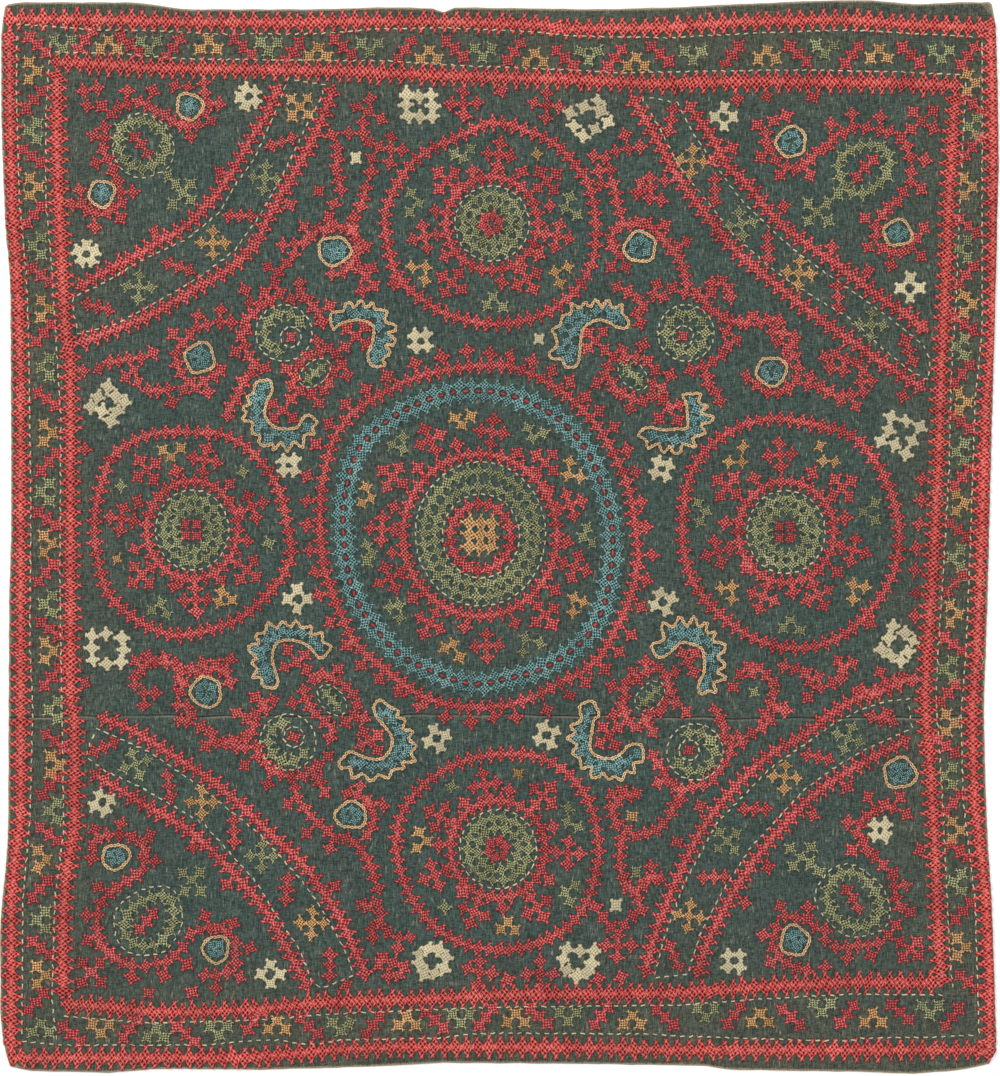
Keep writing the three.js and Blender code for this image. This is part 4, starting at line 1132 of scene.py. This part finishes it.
# A wheel's knots keep this far from its star.
STAR_CLEAR = 15.0
DASH_FINE = 1.6
group_green, group_stars, group_running = [], [], []
for across, down, star_across, star_down in WHEELS:
    # The star stands to one side, and the knots give way to it.
    knots = ring(across, down, WHEEL_REACH, WHEEL_REACH, pitch=12.0, along=1.0, beside=1.02)
    group_green += [knot for knot in knots if math.dist(knot[:2], (star_across, star_down)) > STAR_CLEAR]
    group_stars.append((star_across, star_down, 0.8, 0.8, 0.8))
    group_running += circle_line(across, down, 28, pitch=8) + circle_line(star_across, star_down, 10, pitch=7)
for across, down, lean in OVALS:
    turn = math.radians(lean)
    for reach in OVAL_REACH:
        place = (across + reach * math.cos(turn), down + reach * math.sin(turn))
        group_green.append((*place, turn, 0.85, 0.85))
    for a, d, heading, *_ in circle_line(0, 0, 17.5, 11.5, pitch=7.5):
        place_across = across + a * math.cos(turn) - d * math.sin(turn)
        place_down = down + a * math.sin(turn) + d * math.cos(turn)
        group_running.append((place_across, place_down, heading + turn, 0.9, 0.9))
group_green += [(a, d, 0.9, 0.9, 0.9) for a, d in SMALL_GREEN]
stitched("group_wheels_olive", group_green, olive, wide=1.4, threads=SLIM, uneven=2.0)
stitched("group_wheel_stars", group_stars, madder)
stitched("group_gold_star", [(632, 816, 0.8, 0.9, 0.9)], gold, wide=1.5)
stitched("group_running_stitch", group_running, cream, wide=DASH_FINE, base=DASH_BASE,
         threads=DASH)


# Corner fields: in each corner an oval green wheel with three red knots in it, a green cross, a red cross,
# and red knots locked in paths round the wheel and round two discs.
RED_CORNERS = [
    [(84, 91), (97.5, 88), (87.5, 106), (102, 106), (111.7, 114), (119, 107), (127.5, 91), (127.5, 104),
     (139, 102), (153, 91), (147, 105), (156, 112), (166, 115), (173, 121), (105, 127.5), (94, 135),
     (105, 138), (103, 150), (96, 163), (108, 159), (113, 170), (118, 181), (175, 86), (188, 87),
     (204, 83), (205, 93), (210, 104), (219, 104), (205, 113), (211, 121), (198, 125), (188, 125),
     (191, 137), (181, 125), (80, 190), (72.5, 205), (82, 203), (88, 210), (96, 213), (95, 227),
     (107, 213), (114, 208), (121, 218), (122, 203), (121, 192), (133, 192), (155, 233), (220, 173),
     (135, 137), (141.5, 144), (148, 154)],
    [(757, 125), (773, 121), (786, 116), (766, 133), (766, 142), (771, 150), (761, 157), (776, 160),
     (786, 167), (780, 175), (795, 169), (804, 165), (810, 175), (811, 159), (818, 151), (828, 146),
     (833, 138), (831, 124), (843, 133), (853, 127), (852, 114), (866, 128), (880, 130), (880, 117),
     (889, 132), (901, 138), (911, 129), (921, 121), (913, 112), (933, 111), (933, 128), (907, 147),
     (910, 157), (925, 160), (911, 172), (911, 182), (921, 189), (903, 192), (897, 202), (888, 208),
     (882, 215), (865, 218), (876, 227), (876, 236), (868, 247), (883, 248), (892, 252), (891, 265),
     (902, 252), (911, 246), (921, 256), (917, 238), (924, 228), (732, 148), (784, 206), (832, 247),
     (868, 271), (873, 160), (865, 167), (857, 177), (737, 99), (767, 96), (813, 97), (712, 161)],
    [(95, 830), (121, 823), (108, 835), (99, 838), (120, 835), (132, 837), (150, 835), (142, 843),
     (145, 851), (93, 846), (92, 858), (144, 860), (155, 861), (143, 869), (136, 875), (127, 881),
     (117, 887), (110, 893), (98, 887), (101, 903), (87, 915), (98, 915), (97, 928), (88, 940), (98, 937),
     (102, 946), (110, 953), (116, 958), (123, 963), (132, 965), (132, 977), (146, 966), (157, 963),
     (166, 962), (164, 975), (175, 955), (187, 964), (183, 947), (191, 934), (200, 930), (205, 916),
     (210, 928), (220, 928), (233, 923), (228, 933), (236, 943), (250, 948), (235, 953), (236, 963),
     (240, 977), (227, 972), (217, 975), (205, 975), (216, 988), (83, 963), (100, 963), (91.5, 972),
     (82, 982), (101, 982), (149, 993), (192, 992), (193, 847), (227, 884), (153, 914), (147, 921),
     (140, 929)],
    [(868, 797), (885, 805), (900, 797), (875, 810), (867, 816), (893, 808), (906, 814), (848, 822),
     (860, 824), (857, 833), (863, 841), (852, 850), (867, 850), (875, 857), (883, 865), (893, 873),
     (895, 886), (905, 885), (896, 898), (900, 907), (910, 912), (896, 925), (888, 935), (878, 943),
     (868, 945), (858, 945), (871, 955), (848, 947), (847, 958), (836, 947), (825, 940), (825, 930),
     (815, 927), (808, 919), (808, 907), (796, 918), (785, 916), (780, 906), (776, 927), (763, 935),
     (774, 936), (773, 948), (779, 956), (771, 962), (787, 963), (796, 968), (807, 970), (825, 967),
     (920, 850), (900, 942), (917, 942), (910, 949), (903, 957), (918, 955), (847, 787), (813, 815),
     (768, 867), (745, 903), (847, 890), (853, 898), (858, 908)],
]
OLIVE_CROSSES_FREE = [(168, 176), (176, 184), (191, 184), (183, 193), (173, 204), (191, 200), (808, 204),
                      (827, 203), (817, 212), (808, 221), (828, 221), (838, 194), (183, 873), (200, 872),
                      (192, 880), (185, 891), (201, 891), (790, 848), (811, 847), (801, 857), (793, 866),
                      (810, 863), (819, 871)]
WHEEL_LINES = [
    [(122, 128), (140, 121), (157, 126), (166, 138), (166, 152), (156, 163), (140, 169), (126, 162),
     (119, 148)],
    [(838, 166), (846, 153), (862, 146), (878, 146), (888, 155), (888, 172), (876, 186), (860, 194),
     (846, 188)],
    [(124, 925), (132, 908), (148, 899), (165, 896), (173, 905), (172, 926), (160, 942), (145, 946),
     (130, 940)],
    [(827, 900), (830, 885), (842, 873), (858, 874), (871, 886), (880, 902), (877, 918), (864, 927),
     (845, 924), (833, 913)],
]
WHEEL_STITCHES = [
    [(113, 145), (120, 124), (137, 114), (155, 118), (168, 130), (174, 148), (170, 165), (155, 175),
     (138, 178), (123, 170), (115, 158)],
    [],
    [(160, 886), (147, 888), (132, 895), (118, 907), (114, 922), (117.5, 940), (127, 951), (140, 955),
     (157, 954), (168, 948), (180, 930), (182, 913), (177, 895), (168, 887)],
    [(830, 870), (845, 864), (858, 867), (872, 877), (882, 887), (888, 900), (890, 913), (885, 927),
     (875, 933), (858, 937), (845, 935), (832, 925), (820, 911), (815, 900), (818, 886)],
]
corner_reds, corner_green, corner_running = [], [], []
for places, rim, stitches in zip(RED_CORNERS, WHEEL_LINES, WHEEL_STITCHES):
    corner_reds.append(locked(places))
    corner_green += band(rim, pitch=10.8, along=0.95, beside=1.0, closed=True)
    if stitches:
        corner_running += band(stitches, pitch=8.4, along=0.95, beside=0.95, closed=True)
stitched("upper_corner_fields_red", corner_reds[0] + corner_reds[1], madder)
stitched("lower_corner_fields_red", corner_reds[2] + corner_reds[3], madder)
corner_green += locked(OLIVE_CROSSES_FREE)
stitched("corner_wheels_olive", corner_green, olive, wide=OLIVE_FINE, threads=SLIM,
         uneven=WHEEL_UNEVEN)
stitched("corner_running_stitch", corner_running, cream, wide=DASH_FINE, base=DASH_BASE,
         threads=DASH)


# Rosettes: flowers of undyed cream cotton, densely worked straight onto the ground in the same knots.
# Large ones are a ring of eight knots round an open middle, small ones have four or five, and a star has one.
ROSETTES = [
    (0, [(407, 95), (419, 97), (431, 95), (433, 106), (432, 117), (420, 117), (408, 116), (406, 105)]),
    (15, [(598, 101), (584, 107), (570, 113), (574, 126), (583, 136), (595, 129), (608, 122), (601, 111)]),
    (10, [(108, 387), (116, 396), (125, 402), (117, 411), (111, 421), (102, 411), (91, 407), (98, 397)]),
    (0, [(92, 636), (106, 634), (122, 638), (124, 650), (121, 662), (107, 664), (93, 660), (92, 648)]),
    (15, [(891, 417), (906, 421), (920, 427), (912, 441), (906, 454), (895, 445), (881, 441), (889, 430)]),
    (5, [(893, 626), (905, 633), (913, 641), (908, 652), (901, 661), (891, 656), (882, 650), (889, 638)]),
    (20, [(419, 954), (428, 949), (439, 949), (446, 957), (444, 968), (435, 973), (424, 974), (420, 964)]),
    (5, [(567, 949), (580, 951), (594, 951), (592, 963), (587, 972), (577, 976), (567, 970), (563, 959)]),
]
# A small rosette: its middle, its knots, where the first one lies in degrees, and its reach.
SMALL_ROSETTES = [(248.5, 97, 5, -110, 8.5), (86.5, 254, 5, -90, 8.5), (724, 117, 4, 0, 9),
                  (910, 288, 4, 0, 9.5), (421, 341, 4, -50, 8), (289, 465.5, 4, 45, 7.5),
                  (297.5, 599, 4, 0, 9.5), (662, 469, 4, -30, 8), (663, 602, 4, -20, 9),
                  (437, 738.5, 4, -20, 9), (547, 735.5, 4, -25, 9), (102.5, 802.5, 4, -20, 8.5),
                  (270.5, 974, 4, 0, 9.5), (880, 830, 4, 45, 7.5), (734, 961, 4, 45, 8.5)]
CREAM_STARS = [(539, 339), (356, 158), (616, 905)]
rosettes = []
for lean, places in ROSETTES:
    rosettes += [(a, d, math.radians(lean), 0.92, 0.92) for a, d in places]
for across, down, knots, first, reach in SMALL_ROSETTES:
    for index in range(knots):
        out = math.radians(first) + index * 2 * math.pi / knots
        place = (across + reach * math.cos(out), down + reach * math.sin(out))
        rosettes.append((*place, out + math.pi / 4, 0.88, 0.88))
rosettes += [(a, d, 0.8, 0.86, 0.86) for a, d in CREAM_STARS]
stitched("cream_rosettes", rosettes, cream, wide=2.8)


# Camera, light and floor: the camera is straight above the cloth with the whole of it in view.
# A soft studio light comes from the upper left, with a weaker one opposite, on a plain pale floor.
FLOOR_SIZE = 8.0
floor_points = [(-FLOOR_SIZE, -FLOOR_SIZE, 0), (FLOOR_SIZE, -FLOOR_SIZE, 0), (FLOOR_SIZE, FLOOR_SIZE, 0),
                (-FLOOR_SIZE, FLOOR_SIZE, 0)]
floor = mesh_object("studio_floor", floor_points, [0, 1, 2, 3], [4])
floor_paint = bpy.data.materials.new("pale_floor")
floor_paint.use_nodes = True
floor_tree = floor_paint.node_tree
floor_noise = add_node(floor_tree, "ShaderNodeTexNoise", {"Scale": 3.0, "Detail": 2.0}).outputs[0]
floor_tree.links.new(add_mix(floor_tree, floor_noise, (0.93, 0.93, 0.93, 1), (0.97, 0.97, 0.97, 1)),
                     floor_tree.nodes["Principled BSDF"].inputs["Base Color"])
floor_tree.nodes["Principled BSDF"].inputs["Roughness"].default_value = 0.9
floor.data.materials.append(floor_paint)

VIEW_TALL = 1076 * STEP
VIEW_MIDDLE = (500, 538)
LENS = 85.0
SENSOR = 36.0
camera = bpy.data.objects.new("camera", bpy.data.cameras.new("camera"))
camera.data.lens = LENS
camera.data.sensor_width = SENSOR
middle_x, middle_y = to_metres(*VIEW_MIDDLE)
camera.location = (middle_x, middle_y, VIEW_TALL * LENS / SENSOR + CLOTH_RISE)
bpy.context.scene.collection.objects.link(camera)
bpy.context.scene.camera = camera

world = bpy.data.worlds.new("soft_room")
bpy.context.scene.world = world
world.use_nodes = True
world.node_tree.nodes["Background"].inputs["Color"].default_value = (1, 1, 1, 1)
world.node_tree.nodes["Background"].inputs["Strength"].default_value = 0.75
LIGHTS = [("key_light", (-1.6, 1.8, 1.8), 2.0, 55.0), ("fill_light", (2.2, -1.2, 2.6), 3.0, 30.0)]
for name, place, size, power in LIGHTS:
    lamp = bpy.data.lights.new(name, "AREA")
    lamp.size = size
    lamp.energy = power
    light = bpy.data.objects.new(name, lamp)
    light.location = place
    light.rotation_euler = (-Vector(place)).to_track_quat("-Z", "Y").to_euler()
    bpy.context.scene.collection.objects.link(light)
bpy.context.scene.view_settings.view_transform = "Standard"
